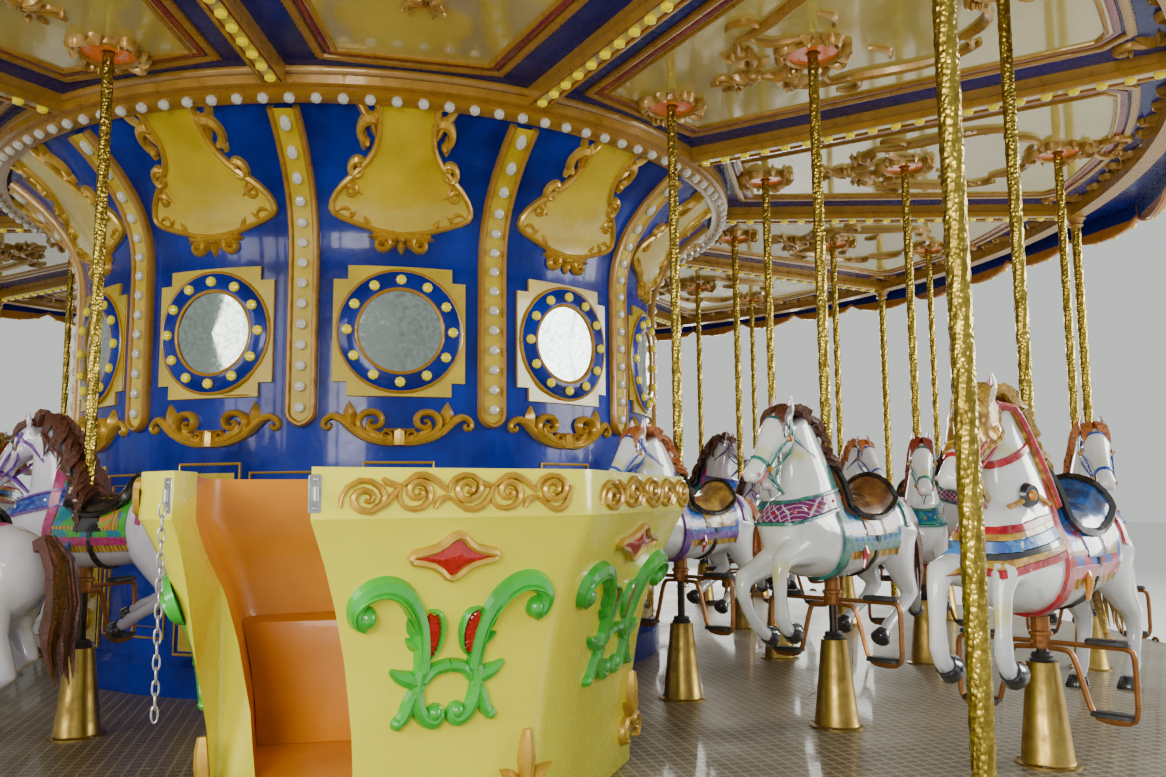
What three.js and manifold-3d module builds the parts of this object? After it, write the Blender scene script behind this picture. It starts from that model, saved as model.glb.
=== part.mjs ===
import * as THREE from 'three';
import { mergeVertices } from 'three/addons/utils/BufferGeometryUtils.js';
import Module from 'manifold-3d';

// Fairground carousel, in millimetres, +Z up. The origin is on the ground, on the turning axis.
// Every bay is drawn once in front of the axis, on -Y, and is then turned about +Z to its place.
// Riders travel clockwise seen from above, so a horse in the front bay heads towards -X.

// Driving dimensions
const BAYS = 12;
const BAY = 2 * Math.PI / BAYS;
const CHARIOT_BAYS = [0, 6];
const GAP = 0.3;                     // clearance between pieces that touch
const OVERLAP = 5;                   // how far small pieces of one solid run into each other
const ROOT = 20;                     // how far ribs and posts run into the rings that carry them
const CUT_PAST = 20;                 // how far a cutting shape runs past the face it opens

const DECK_TOP = 360;
const DECK_THICK = 20;
const DECK_INNER = 1320;
const BEAM_START = 1500;
const BEAM_SETBACK = 40;
const DECK_OUTER = 5590;
const DECK_SECTORS = 6;
const BEAM_WIDTH = 80;
const BEAM_DEPTH = 140;
const SKIRT_THICK = 20;
const SKIRT_BOTTOM = 40;

const PEDESTAL_RADIUS = 1750;
const PEDESTAL_TOP = 200;
const PEDESTAL_FOOT = 40;
const SLEW_INNER = 1300;
const SLEW_OUTER = 1480;

const DRUM_RADIUS = 2010;
const DRUM_WALL = 40;
const DRUM_SIDES = 24;
const PLINTH_PROUD = 50;
const PLINTH_HEIGHT = 180;
const PLINTH_SLOPE = 20;
const SWAG_LEVEL = DECK_TOP + 1330;  // lower wall to neck
const COVE_LEVEL = DECK_TOP + 2350;  // neck to flared cove
const RIM_LEVEL = DECK_TOP + 3140;   // underside of the sweeps
const RIM_RADIUS = 2540;
const MIRROR_PANEL = 740;
const MIRROR_PROUD = 25;
const MIRROR_BACK = 30;
const MIRROR_FOOT = DECK_TOP + 1616;
const MIRROR_TOP = COVE_LEVEL - 6;
const PILASTER_WIDTH = 130;
const PILASTER_PROUD = 30;
const PILASTER_CLEAR = 1;            // between the pilasters and the drum behind them
const PILASTER_FOOT = DECK_TOP + 1450;
const LAMP_RING = 45;                // depth and reach of the lamp ring under the cornice

const CEILING_LEVEL = DECK_TOP + 3240;
const CEILING_THICK = 20;
const SWEEP_WIDTH = 90;
const CORNICE_INNER = 2480;
const CORNICE_OUTER = 2600;
const POST_CIRCLE = 5290;
const POST_RADIUS = 35;
const RING_BEAM = 60;                // half the width of the outer ring beam

const BOARD_APOTHEM = 5570;
const BOARD_THICK = 30;
const BOARD_BOTTOM = DECK_TOP + 3050;
const BOARD_TOP = DECK_TOP + 3700;
const SCALLOPS = 4;
const SCALLOP_DEPTH = 90;
const SCALLOP_SPACE = 10;
const SCALLOP_SETBACK = 2;
const ROOF_TOP = DECK_TOP + 5260;
const ROOF_CROWN = 300;
const ROOF_THICK = 25;
const ROOF_SEAT = 40;
const ROOF_EAVES = 80;
const FINIAL_HEIGHT = 900;

const ROWS = [
  { name: 'inner', radius: 2900, scale: 0.79, gait: 'gathered' },
  { name: 'middle', radius: 3815, scale: 0.89, gait: 'gathered' },
  { name: 'outer', radius: 4750, scale: 1.0, gait: 'stretched' },
];
const STROKE = 300;
// Rest heights as shares of the stroke, for the five horse bays after each chariot bay in turn
const LIFTS = {
  inner: [0.55, 0.5, 0, 0.5, 1, 0.5, 0, 0.5, 0, 0.65],
  middle: [0.35, 0.15, 0.5, 1, 0, 0, 1, 0, 0.5, 0],
  outer: [0, 0, 0.3, 0, 0.5, 1, 0.5, 1, 1, 0.5],
};
const CLAMP_LOW = DECK_TOP + 440;    // underside of the belly clamp at the lowest point
const CONE_HEIGHT = 390;
const CONE_BASE = 100;
const CONE_TOP = 58;
const BORE_FOOT = 10;                // bottom of the bore above the deck
const ROD_RADIUS = 20;
const ROD_LENGTH = 410;
const ROD_CLEARANCE = 0.4;
const POLE_RADIUS = 28;
const POLE_TOP_LOW = DECK_TOP + 3550; // top of the twisted pole at the lowest point
const POLE_SLOT = 45;
const ROUND = 6;                     // sides of rods, poles, cones and their bushes

const wasm = await Module();
wasm.setup();

const turned = (radius, angle) => [radius * Math.sin(angle), -radius * Math.cos(angle)];
const flatToCorner = (apothem, sides) => apothem / Math.cos(Math.PI / sides);

// A closed mesh with shared corners and no empty triangles, its faces pointing out
function tidy(geometry) {
  const bare = geometry.clone();
  bare.deleteAttribute('normal');
  bare.deleteAttribute('uv');
  const merged = mergeVertices(bare, 1e-3);
  const position = merged.getAttribute('position');
  const index = merged.getIndex();
  const corners = [];
  for (let i = 0; i < index.count; i += 3) {
    const [a, b, c] = [index.getX(i), index.getX(i + 1), index.getX(i + 2)];
    if (a !== b && b !== c && c !== a) corners.push(a, b, c);
  }
  const [p, q, r] = [new THREE.Vector3(), new THREE.Vector3(), new THREE.Vector3()];
  let volume = 0;
  for (let i = 0; i < corners.length; i += 3) {
    p.fromBufferAttribute(position, corners[i]);
    q.fromBufferAttribute(position, corners[i + 1]);
    r.fromBufferAttribute(position, corners[i + 2]);
    volume += p.dot(q.cross(r));
  }
  if (volume < 0) corners.reverse();
  const result = new THREE.BufferGeometry();
  result.setAttribute('position', position);
  result.setIndex(corners);
  return result;
}

function toSolid(geometry) {
  const closed = tidy(geometry);
  return new wasm.Manifold(new wasm.Mesh({
    numProp: 3,
    vertProperties: new Float32Array(closed.getAttribute('position').array),
    triVerts: new Uint32Array(closed.getIndex().array),
  }));
}

function toGeometry(solid) {
  const mesh = solid.getMesh();
  const geometry = new THREE.BufferGeometry();
  geometry.setAttribute('position', new THREE.BufferAttribute(new Float32Array(mesh.vertProperties), 3));
  geometry.setIndex(new THREE.BufferAttribute(new Uint32Array(mesh.triVerts), 1));
  return geometry;
}

const joined = (geometries) => geometries.map(toSolid).reduce((all, next) => all.add(next));

// An outline in plan, raised from one level to another
function prism(outline, low, high, holes = []) {
  const shape = new THREE.Shape(outline.map(([x, y]) => new THREE.Vector2(x, y)));
  shape.holes = holes.map((hole) => new THREE.Path(hole.map(([x, y]) => new THREE.Vector2(x, y))));
  const geometry = new THREE.ExtrudeGeometry(shape, { depth: high - low, bevelEnabled: false });
  return geometry.translate(0, 0, low);
}

// A profile of [apothem, level] points turned about the axis, with a flat facing every bay centre
function revolve(profile, sides) {
  const points = profile.map(([r, z]) => new THREE.Vector2(flatToCorner(r, sides), z));
  points.push(points[0].clone());
  const geometry = new THREE.LatheGeometry(points, sides, Math.PI / sides);
  return geometry.rotateX(Math.PI / 2);
}

// Stands an outline drawn as (y, z) up in the plane across X, with its depth along X
const STANDING = new THREE.Matrix4().set(0, 0, 1, 0, 1, 0, 0, 0, 0, 1, 0, 0, 0, 0, 0, 1);

function polygon(radius, sides, centre = [0, 0], start = 0) {
  return Array.from({ length: sides }, (_, i) => {
    const angle = start + 2 * Math.PI * i / sides;
    return [centre[0] + radius * Math.cos(angle), centre[1] + radius * Math.sin(angle)];
  });
}

function box(x0, x1, y0, y1, z0, z1) {
  const geometry = new THREE.BoxGeometry(x1 - x0, y1 - y0, z1 - z0);
  return geometry.translate((x0 + x1) / 2, (y0 + y1) / 2, (z0 + z1) / 2);
}

// Rings of [x, y, z] corners, all with the same number, skinned and capped
function skin(rings) {
  const sides = rings[0].length;
  const corners = [];
  const at = (ring, i) => ring * sides + i % sides;
  for (let k = 0; k + 1 < rings.length; k += 1) {
    for (let i = 0; i < sides; i += 1) {
      corners.push(at(k, i), at(k, i + 1), at(k + 1, i + 1));
      corners.push(at(k, i), at(k + 1, i + 1), at(k + 1, i));
    }
  }
  for (let i = 1; i + 1 < sides; i += 1) {
    corners.push(0, at(0, i + 1), at(0, i));
    const last = rings.length - 1;
    corners.push(at(last, 0), at(last, i), at(last, i + 1));
  }
  const geometry = new THREE.BufferGeometry();
  geometry.setAttribute('position', new THREE.Float32BufferAttribute(rings.flat(2), 3));
  geometry.setIndex(corners);
  return tidy(geometry);
}

// A limb along stations of [x, z, half height, half width], in the plane y = offset
function limb(stations, sides, offset = 0) {
  const rings = stations.map(([x, z, tall, wide], k) => {
    const before = stations[Math.max(k - 1, 0)];
    const after = stations[Math.min(k + 1, stations.length - 1)];
    const along = new THREE.Vector2(after[0] - before[0], after[1] - before[1]).normalize();
    return Array.from({ length: sides }, (_, i) => {
      const angle = 2 * Math.PI * (i + 0.5) / sides;
      const up = tall * Math.cos(angle);
      return [x - along.y * up, offset + wide * Math.sin(angle), z + along.x * up];
    });
  });
  return skin(rings);
}

const finish = (color, roughness, metalness) => new THREE.MeshStandardMaterial({ color, roughness, metalness });
const FINISHES = {
  steel: finish(0x5b5f63, 0.6, 0.7),
  tread: finish(0x8a8378, 0.55, 0.6),
  blue: finish(0x14289a, 0.2, 0.0),
  yellow: finish(0xe9d86a, 0.18, 0.0),
  cream: finish(0xe8d796, 0.15, 0.0),
  gold: finish(0xb07a26, 0.35, 0.5),
  brass: finish(0xb79a4a, 0.3, 0.9),
  orange: finish(0xe0820f, 0.3, 0.0),
  white: finish(0xe9ecef, 0.15, 0.0),
  roof: finish(0x2a3f9c, 0.45, 0.0),
};

const carousel = new THREE.Group();
function add(name, geometry, material, parent = carousel) {
  const mesh = new THREE.Mesh(tidy(geometry), FINISHES[material]);
  mesh.name = name;
  parent.add(mesh);
  return mesh;
}

// Fixed base

const basePedestal = () => revolve([
  [SLEW_INNER, 0], [PEDESTAL_RADIUS, 0], [PEDESTAL_RADIUS, PEDESTAL_FOOT],
  [SLEW_OUTER, PEDESTAL_TOP], [SLEW_INNER, PEDESTAL_TOP],
], DRUM_SIDES);

// Turning platform

const BEAM_TOP = DECK_TOP - DECK_THICK;
const BEAM_BOTTOM = BEAM_TOP - BEAM_DEPTH;

const slewingRing = () => revolve([
  [SLEW_INNER, PEDESTAL_TOP + GAP], [SLEW_OUTER, PEDESTAL_TOP + GAP],
  [SLEW_OUTER, BEAM_TOP - GAP], [SLEW_INNER, BEAM_TOP - GAP],
], DRUM_SIDES);

const inBay = (geometry, bay) => geometry.rotateZ(bay * BAY);
const horseBays = Array.from({ length: BAYS }, (_, bay) => bay).filter((bay) => !CHARIOT_BAYS.includes(bay));

// A cone that guides a lower rod in its bore, open at the top
function guideCone(radius) {
  const centre = [0, -radius];
  const start = Math.PI / ROUND;
  const ring = (r, z) => polygon(r, ROUND, centre, start).map(([x, y]) => [x, y, z]);
  const outer = skin([ring(CONE_BASE, DECK_TOP - OVERLAP), ring(CONE_TOP, DECK_TOP + CONE_HEIGHT)]);
  const bore = ROD_RADIUS + ROD_CLEARANCE;
  const inner = skin([ring(bore, DECK_TOP + BORE_FOOT), ring(bore, DECK_TOP + CONE_HEIGHT + CUT_PAST)]);
  return { outer, inner };
}

// Two bays of tread plate with a radial beam along the middle, and the cones that stand on it
function deckSector(sector) {
  const side = 2 * Math.PI / DRUM_SIDES;
  const first = (2 * sector - 0.5) * BAY;
  const corners = Array.from({ length: DRUM_SIDES / DECK_SECTORS }, (_, i) => first + (i + 0.5) * side);
  const arc = (apothem, backwards) => {
    const edge = GAP / apothem;
    const points = [
      turned(apothem, first + edge),
      ...corners.map((angle) => turned(flatToCorner(apothem, DRUM_SIDES), angle)),
      turned(apothem, first + 2 * BAY - edge),
    ];
    return backwards ? points.reverse() : points;
  };
  const plate = prism([...arc(DECK_OUTER, false), ...arc(DECK_INNER, true)], BEAM_TOP, DECK_TOP);
  let solid = toSolid(plate);
  const beam = () => box(-BEAM_WIDTH / 2, BEAM_WIDTH / 2, -DECK_OUTER + BEAM_SETBACK, -BEAM_START,
    BEAM_BOTTOM, BEAM_TOP + OVERLAP);
  solid = solid.add(toSolid(beam().rotateZ(first + BAY)));
  for (const bay of [2 * sector, 2 * sector + 1].filter((each) => horseBays.includes(each))) {
    for (const row of ROWS) {
      const { outer, inner } = guideCone(row.radius);
      solid = solid.add(toSolid(inBay(outer, bay))).subtract(toSolid(inBay(inner, bay)));
    }
  }
  return toGeometry(solid);
}

const deckSkirt = () => revolve([
  [DECK_OUTER + GAP, SKIRT_BOTTOM], [DECK_OUTER + SKIRT_THICK, SKIRT_BOTTOM],
  [DECK_OUTER + SKIRT_THICK, DECK_TOP], [DECK_OUTER + GAP, DECK_TOP],
], DRUM_SIDES);

// Centre drum

const drumBase = () => revolve([
  [DRUM_RADIUS - DRUM_WALL, DECK_TOP + GAP], [DRUM_RADIUS + PLINTH_PROUD, DECK_TOP + GAP],
  [DRUM_RADIUS + PLINTH_PROUD, DECK_TOP + PLINTH_HEIGHT],
  [DRUM_RADIUS, DECK_TOP + PLINTH_HEIGHT + PLINTH_SLOPE],
  [DRUM_RADIUS, SWAG_LEVEL], [DRUM_RADIUS - DRUM_WALL, SWAG_LEVEL],
], DRUM_SIDES);

function drumNeck() {
  const wall = revolve([
    [DRUM_RADIUS - DRUM_WALL, SWAG_LEVEL + GAP], [DRUM_RADIUS, SWAG_LEVEL + GAP],
    [DRUM_RADIUS, COVE_LEVEL], [DRUM_RADIUS - DRUM_WALL, COVE_LEVEL],
  ], DRUM_SIDES);
  let solid = toSolid(wall);
  const half = MIRROR_PANEL / 2;
  for (let bay = 0; bay < BAYS; bay += 1) {
    const front = -DRUM_RADIUS - MIRROR_PROUD;
    const panel = box(-half, half, front, -DRUM_RADIUS + MIRROR_BACK, MIRROR_FOOT, MIRROR_TOP);
    solid = solid.add(toSolid(inBay(panel, bay)));
  }
  return toGeometry(solid);
}

// The flare runs in straight steps from the neck to the rim
const COVE_STEPS = 3;
const COVE_CURVE = 2.4;
const coveLevels = Array.from({ length: COVE_STEPS + 1 },
  (_, i) => COVE_LEVEL + (RIM_LEVEL - COVE_LEVEL) * i / COVE_STEPS);

// Radius of the drum's outside at a level
function drumRadius(level) {
  const step = Math.max(0, (level - COVE_LEVEL) / (RIM_LEVEL - COVE_LEVEL)) * COVE_STEPS;
  const below = Math.min(Math.floor(step), COVE_STEPS - 1);
  const flare = (i) => (RIM_RADIUS - DRUM_RADIUS) * (i / COVE_STEPS) ** COVE_CURVE;
  return DRUM_RADIUS + flare(below) + (step - below) * (flare(below + 1) - flare(below));
}

function drumCove() {
  const levels = coveLevels.map((level, i) => level + (i === 0 ? GAP : 0) - (i === COVE_STEPS ? GAP : 0));
  const outside = levels.map((level) => [drumRadius(level), level]);
  const inside = levels.map((level) => [drumRadius(level) - DRUM_WALL, level]).reverse();
  return revolve([...outside, ...inside], DRUM_SIDES);
}

// Twelve pilasters that follow the flare, carried by the lamp ring under the cornice
function pilasters() {
  const ringFoot = RIM_LEVEL - LAMP_RING;
  const levels = [PILASTER_FOOT, ...coveLevels.slice(0, COVE_STEPS), RIM_LEVEL - GAP];
  const front = levels.map((level) => [-drumRadius(level) - PILASTER_PROUD, level]);
  const back = levels.map((level) => [-drumRadius(level) - PILASTER_CLEAR, level]).reverse();
  const shape = new THREE.Shape([...front, ...back].map(([y, z]) => new THREE.Vector2(y, z)));
  const strip = new THREE.ExtrudeGeometry(shape, { depth: PILASTER_WIDTH, bevelEnabled: false });
  strip.translate(0, 0, -PILASTER_WIDTH / 2);
  strip.applyMatrix4(STANDING);
  let solid = toSolid(revolve([
    [drumRadius(ringFoot) + PILASTER_CLEAR, ringFoot], [RIM_RADIUS + LAMP_RING, ringFoot],
    [RIM_RADIUS + LAMP_RING, RIM_LEVEL - GAP], [RIM_RADIUS + PILASTER_CLEAR, RIM_LEVEL - GAP],
  ], DRUM_SIDES));
  for (let bay = 0; bay < BAYS; bay += 1) {
    solid = solid.add(toSolid(strip.clone().rotateZ((bay + 0.5) * BAY)));
  }
  return toGeometry(solid);
}

// Roof structure

function sweeps() {
  let solid = toSolid(revolve([
    [CORNICE_INNER, RIM_LEVEL], [CORNICE_OUTER, RIM_LEVEL],
    [CORNICE_OUTER, CEILING_LEVEL - GAP], [CORNICE_INNER, CEILING_LEVEL - GAP],
  ], DRUM_SIDES));
  const reach = POST_CIRCLE - RING_BEAM - GAP;
  const half = SWEEP_WIDTH / 2;
  for (let bay = 0; bay < BAYS; bay += 1) {
    const rib = box(-half, half, -reach, -CORNICE_OUTER + ROOT, RIM_LEVEL, CEILING_LEVEL - GAP);
    solid = solid.add(toSolid(rib.rotateZ((bay + 0.5) * BAY)));
  }
  return toGeometry(solid);
}

function ceiling() {
  const outer = polygon(flatToCorner(BOARD_APOTHEM - GAP, BAYS), BAYS, [0, 0], -Math.PI / 2 + BAY / 2);
  const inner = polygon(flatToCorner(CORNICE_INNER, DRUM_SIDES), DRUM_SIDES, [0, 0], Math.PI / DRUM_SIDES);
  const slots = horseBays.flatMap((bay) => ROWS.map((row) => {
    const angle = bay * BAY;
    return polygon(POLE_SLOT * Math.SQRT2, 4, turned(row.radius, angle), angle + Math.PI / 4);
  }));
  return prism(outer, CEILING_LEVEL, CEILING_LEVEL + CEILING_THICK, [inner, ...slots]);
}

function outerPosts() {
  let solid = toSolid(revolve([
    [POST_CIRCLE - RING_BEAM, RIM_LEVEL], [POST_CIRCLE + RING_BEAM, RIM_LEVEL],
    [POST_CIRCLE + RING_BEAM, CEILING_LEVEL - GAP], [POST_CIRCLE - RING_BEAM, CEILING_LEVEL - GAP],
  ], DRUM_SIDES));
  for (let bay = 0; bay < BAYS; bay += 1) {
    const centre = turned(POST_CIRCLE, (bay + 0.5) * BAY);
    const post = prism(polygon(POST_RADIUS, ROUND, centre), DECK_TOP + GAP, RIM_LEVEL + ROOT);
    solid = solid.add(toSolid(post));
  }
  return toGeometry(solid);
}

// Twelve flat boards in one ring, with a scalloped lower edge
function roundingBoards() {
  const foot = BOARD_BOTTOM + SCALLOP_DEPTH;
  const half = BOARD_APOTHEM * Math.tan(BAY / 2);
  const pitch = 2 * half / SCALLOPS;
  let solid = toSolid(revolve([
    [BOARD_APOTHEM, foot], [BOARD_APOTHEM + BOARD_THICK, foot],
    [BOARD_APOTHEM + BOARD_THICK, BOARD_TOP], [BOARD_APOTHEM, BOARD_TOP],
  ], BAYS));
  const drop = (x) => {
    const outline = [[x + SCALLOP_SPACE, foot + OVERLAP], [x + pitch * 0.3, BOARD_BOTTOM],
      [x + pitch * 0.7, BOARD_BOTTOM], [x + pitch - SCALLOP_SPACE, foot + OVERLAP]];
    const shape = new THREE.Shape(outline.map(([across, z]) => new THREE.Vector2(across, z)));
    const depth = BOARD_THICK - 2 * SCALLOP_SETBACK;
    const plate = new THREE.ExtrudeGeometry(shape, { depth, bevelEnabled: false });
    return plate.rotateX(Math.PI / 2).translate(0, -BOARD_APOTHEM - SCALLOP_SETBACK, 0);
  };
  for (let i = 0; i < BAYS * SCALLOPS; i += 1) {
    const plate = drop(-half + (i % SCALLOPS) * pitch);
    solid = solid.add(toSolid(inBay(plate, Math.floor(i / SCALLOPS))));
  }
  return toGeometry(solid);
}

const roofCanopy = () => revolve([
  [BOARD_APOTHEM - ROOF_SEAT, BOARD_TOP + GAP], [BOARD_APOTHEM + ROOF_EAVES, BOARD_TOP + GAP],
  [BOARD_APOTHEM + ROOF_EAVES, BOARD_TOP + ROOF_THICK], [ROOF_CROWN, ROOF_TOP],
  [ROOF_CROWN, ROOF_TOP - ROOF_THICK],
], BAYS);

function roofFinial() {
  const foot = ROOF_TOP + GAP;
  const profile = [
    [0, 0], [340, 0], [340, 50], [180, 90], [110, 170], [160, 260],
    [160, 340], [90, 430], [45, 480], [30, 700], [0, FINIAL_HEIGHT],
  ];
  const points = profile.map(([r, z]) => new THREE.Vector2(r, foot + z));
  return new THREE.LatheGeometry(points, BAYS).rotateX(Math.PI / 2);
}

// Chariots: a flared tub of six corners, entered at the leading outer corner

const TUB_HEIGHT = 1130;
const TUB_BAND = 140;
const TUB_INSET = 210;
const TUB_CURVE = 2.6;
const TUB_WALL = 125;
const TUB_FLOOR = 200;
const SEAT_HEIGHT = 620;
const BENCH_CLEAR = 0.8;
const TUB_RIM = [
  [-480, -4910], [390, -4660], [1100, -3560], [720, -3080], [-950, -3350], [-900, -4450],
];
const ENTRANCE = [[-1150, -5050], [-420, -5050], [-400, -4500], [-690, -4180], [-780, -4560]];
const LEG_ROOM = [[-1500, -5200], [-500, -5200], [700, -5200], [430, -3890], [-1500, -3750]];

// Moves every edge of a counter-clockwise outline inwards
function inset(outline, distance) {
  const lines = outline.map(([x, y], i) => {
    const [x2, y2] = outline[(i + 1) % outline.length];
    const length = Math.hypot(x2 - x, y2 - y);
    const [nx, ny] = [-(y2 - y) / length, (x2 - x) / length];
    return [nx, ny, nx * x + ny * y + distance];
  });
  return lines.map(([a2, b2, c2], i) => {
    const [a1, b1, c1] = lines[(i + lines.length - 1) % lines.length];
    const det = a1 * b2 - a2 * b1;
    return [(c1 * b2 - c2 * b1) / det, (a1 * c2 - a2 * c1) / det];
  });
}

const tubInset = (height) => {
  const share = Math.min(1, height / (TUB_HEIGHT - TUB_BAND));
  return TUB_INSET * (1 - share ** TUB_CURVE);
};
const tubLevels = [0, 350, 600, 800, TUB_HEIGHT - TUB_BAND];

function chariotTub() {
  const ring = (height, extra) => inset(TUB_RIM, tubInset(height) + extra)
    .map(([x, y]) => [x, y, DECK_TOP + height]);
  const outer = skin([
    ...tubLevels.map((height) => ring(height + (height === 0 ? GAP : 0), 0)), ring(TUB_HEIGHT, 0),
  ]);
  const inner = skin([
    ...[TUB_FLOOR, 600, TUB_HEIGHT - TUB_BAND].map((height) => ring(height, TUB_WALL)),
    ring(TUB_HEIGHT + CUT_PAST, TUB_WALL),
  ]);
  const door = prism(ENTRANCE, DECK_TOP + TUB_FLOOR, DECK_TOP + TUB_HEIGHT + CUT_PAST);
  return toGeometry(toSolid(outer).subtract(toSolid(inner)).subtract(toSolid(door)));
}

// An L-shaped bench along the inner and trailing walls
function chariotBench() {
  const floor = inset(TUB_RIM, tubInset(TUB_FLOOR) + TUB_WALL + BENCH_CLEAR);
  const low = DECK_TOP + TUB_FLOOR + GAP;
  const block = prism(floor, low, DECK_TOP + SEAT_HEIGHT);
  const clear = prism(LEG_ROOM, low - CUT_PAST, DECK_TOP + SEAT_HEIGHT + CUT_PAST);
  return toGeometry(toSolid(block).subtract(toSolid(clear)));
}

// Horses: one solid with its twisted pole, belly clamp, foot frames and lower rod.
// Drawn heading along +X at scale 1, with z = 0 at the underside of the belly clamp.

const TORSO = [
  [-660, 430, 110, 90], [-470, 390, 200, 165], [120, 340, 195, 160], [330, 430, 190, 130],
  [250, 680, 165, 90], [340, 950, 100, 58], [650, 660, 50, 42],
];
const TAIL = [[-640, 500, 45, 35], [-790, 420, 60, 45], [-820, -20, 30, 25]];
const LEGS = {
  gathered: [
    { side: 75, stations: [[250, 310, 85, 58], [600, 245, 44, 38], [480, -95, 40, 34]] },
    { side: -75, stations: [[260, 290, 85, 58], [665, 165, 44, 38], [430, -130, 40, 34]] },
    { side: 80, stations: [[-520, 300, 115, 62], [-665, 20, 48, 42], [-330, -185, 40, 34]] },
    { side: -80, stations: [[-500, 300, 115, 62], [-595, 65, 48, 42], [-255, -130, 40, 34]] },
  ],
  stretched: [
    { side: 75, stations: [[240, 340, 85, 58], [535, 310, 44, 38], [470, -35, 40, 34]] },
    { side: -75, stations: [[270, 330, 85, 58], [690, 325, 44, 38], [650, -15, 40, 34]] },
    { side: 80, stations: [[-550, 320, 115, 62], [-820, 85, 48, 42], [-715, -235, 40, 34]] },
    { side: -80, stations: [[-520, 310, 115, 62], [-745, 60, 48, 42], [-615, -235, 40, 34]] },
  ],
};
const FRAME_REACH = 350;
const FRAME_START = 110;
const FRAME_DROP = 260;
const FRAME_TOP = 40;
const TUBE = 26;

// Both foot frames and the bar that carries them, cut from one outline in the plane across the horse
function footFrames() {
  const rect = (y0, y1, z0, z1) => [[y0, z0], [y1, z0], [y1, z1], [y0, z1]];
  const barFoot = FRAME_TOP - TUBE;
  const outline = [
    [-FRAME_REACH, FRAME_TOP], [-FRAME_REACH, -FRAME_DROP],
    [-FRAME_START, -FRAME_DROP], [-FRAME_START, barFoot],
    [FRAME_START, barFoot], [FRAME_START, -FRAME_DROP],
    [FRAME_REACH, -FRAME_DROP], [FRAME_REACH, FRAME_TOP],
  ];
  const [near, far, low, high] = [FRAME_START + TUBE, FRAME_REACH - TUBE, -FRAME_DROP + TUBE, barFoot];
  const plate = prism(outline, -TUBE / 2, TUBE / 2, [rect(near, far, low, high), rect(-far, -near, low, high)]);
  return plate.applyMatrix4(STANDING);
}

// Lower rod, belly clamp and twisted pole on one axis
function poleAndRod() {
  const ring = (radius, z) => polygon(radius, ROUND, [0, 0], Math.PI / ROUND).map(([x, y]) => [x, y, z]);
  return skin([
    ring(ROD_RADIUS, -ROD_LENGTH), ring(ROD_RADIUS, 0), ring(POLE_RADIUS, 0),
    ring(POLE_RADIUS, POLE_TOP_LOW - CLAMP_LOW),
  ]);
}

function horse(row) {
  const s = row.scale;
  const scaled = (stations) => stations.map((station) => station.map((value) => value * s));
  const parts = [
    limb(scaled(TORSO), 6), limb(scaled(TAIL), 3),
    ...LEGS[row.gait].map(({ side, stations }) => limb(scaled(stations), 3, side * s)),
    poleAndRod(), footFrames(),
  ];
  return toGeometry(joined(parts));
}

// Assembly

add('base_pedestal', basePedestal(), 'steel');
add('slewing_ring', slewingRing(), 'steel');
for (let sector = 0; sector < DECK_SECTORS; sector += 1) {
  add(`deck_sector_${sector + 1}`, deckSector(sector), 'tread');
}
add('deck_skirt', deckSkirt(), 'blue');
add('drum_base', drumBase(), 'blue');
add('drum_neck', drumNeck(), 'blue');
add('drum_cove', drumCove(), 'blue');
add('pilasters', pilasters(), 'yellow');
add('sweeps', sweeps(), 'gold');
add('ceiling', ceiling(), 'cream');
add('outer_posts', outerPosts(), 'brass');
add('rounding_boards', roundingBoards(), 'gold');
add('roof_canopy', roofCanopy(), 'roof');
add('roof_finial', roofFinial(), 'gold');

const chariotNames = ['front', 'rear'];
CHARIOT_BAYS.forEach((bay, i) => {
  const place = new THREE.Group();
  place.rotation.z = bay * BAY;
  carousel.add(place);
  add(`chariot_${chariotNames[i]}_tub`, chariotTub(), 'yellow', place);
  add(`chariot_${chariotNames[i]}_bench`, chariotBench(), 'orange', place);
});

const herd = ROWS.map(horse);
horseBays.forEach((bay, order) => {
  const place = new THREE.Group();
  place.rotation.z = bay * BAY;
  carousel.add(place);
  ROWS.forEach((row, rank) => {
    const number = String(bay).padStart(2, '0');
    const mesh = add(`horse_${row.name}_${number}`, herd[rank], 'white', place);
    mesh.position.set(0, -row.radius, CLAMP_LOW + LIFTS[row.name][order] * STROKE);
    mesh.rotation.z = Math.PI;
  });
});

export default carousel;
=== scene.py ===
"""Fairground carousel: looks for the turning deck, centre drum, ceiling, chariots and horses."""

from math import atan2, cos, degrees, dist, pi, radians, sin, tan

import bmesh
import bpy
import numpy as np
from mathutils import Matrix, Vector
from mathutils.bvhtree import BVHTree


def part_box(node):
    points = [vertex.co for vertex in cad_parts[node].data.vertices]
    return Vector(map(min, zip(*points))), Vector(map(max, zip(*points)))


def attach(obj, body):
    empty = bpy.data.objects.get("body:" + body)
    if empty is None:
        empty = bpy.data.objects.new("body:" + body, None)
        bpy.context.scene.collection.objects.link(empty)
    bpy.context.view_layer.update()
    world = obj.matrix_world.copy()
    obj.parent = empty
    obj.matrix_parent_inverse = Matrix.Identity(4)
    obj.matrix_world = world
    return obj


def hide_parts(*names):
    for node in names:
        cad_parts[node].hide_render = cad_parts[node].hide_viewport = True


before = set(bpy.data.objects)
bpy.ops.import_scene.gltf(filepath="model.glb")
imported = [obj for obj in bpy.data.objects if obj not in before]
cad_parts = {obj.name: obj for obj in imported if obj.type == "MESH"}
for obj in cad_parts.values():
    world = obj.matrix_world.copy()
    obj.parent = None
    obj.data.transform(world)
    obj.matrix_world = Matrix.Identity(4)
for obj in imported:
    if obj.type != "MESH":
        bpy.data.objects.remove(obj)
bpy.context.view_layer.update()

# Driving dimensions, in metres, as in the frame
BAYS = 12
BAY = 2 * pi / BAYS
CHARIOT_BAYS = (0, 6)
HORSE_BAYS = [bay for bay in range(BAYS) if bay not in CHARIOT_BAYS]
DECK = 0.36
DECK_INNER = 1.32
DECK_OUTER = 5.59
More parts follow.
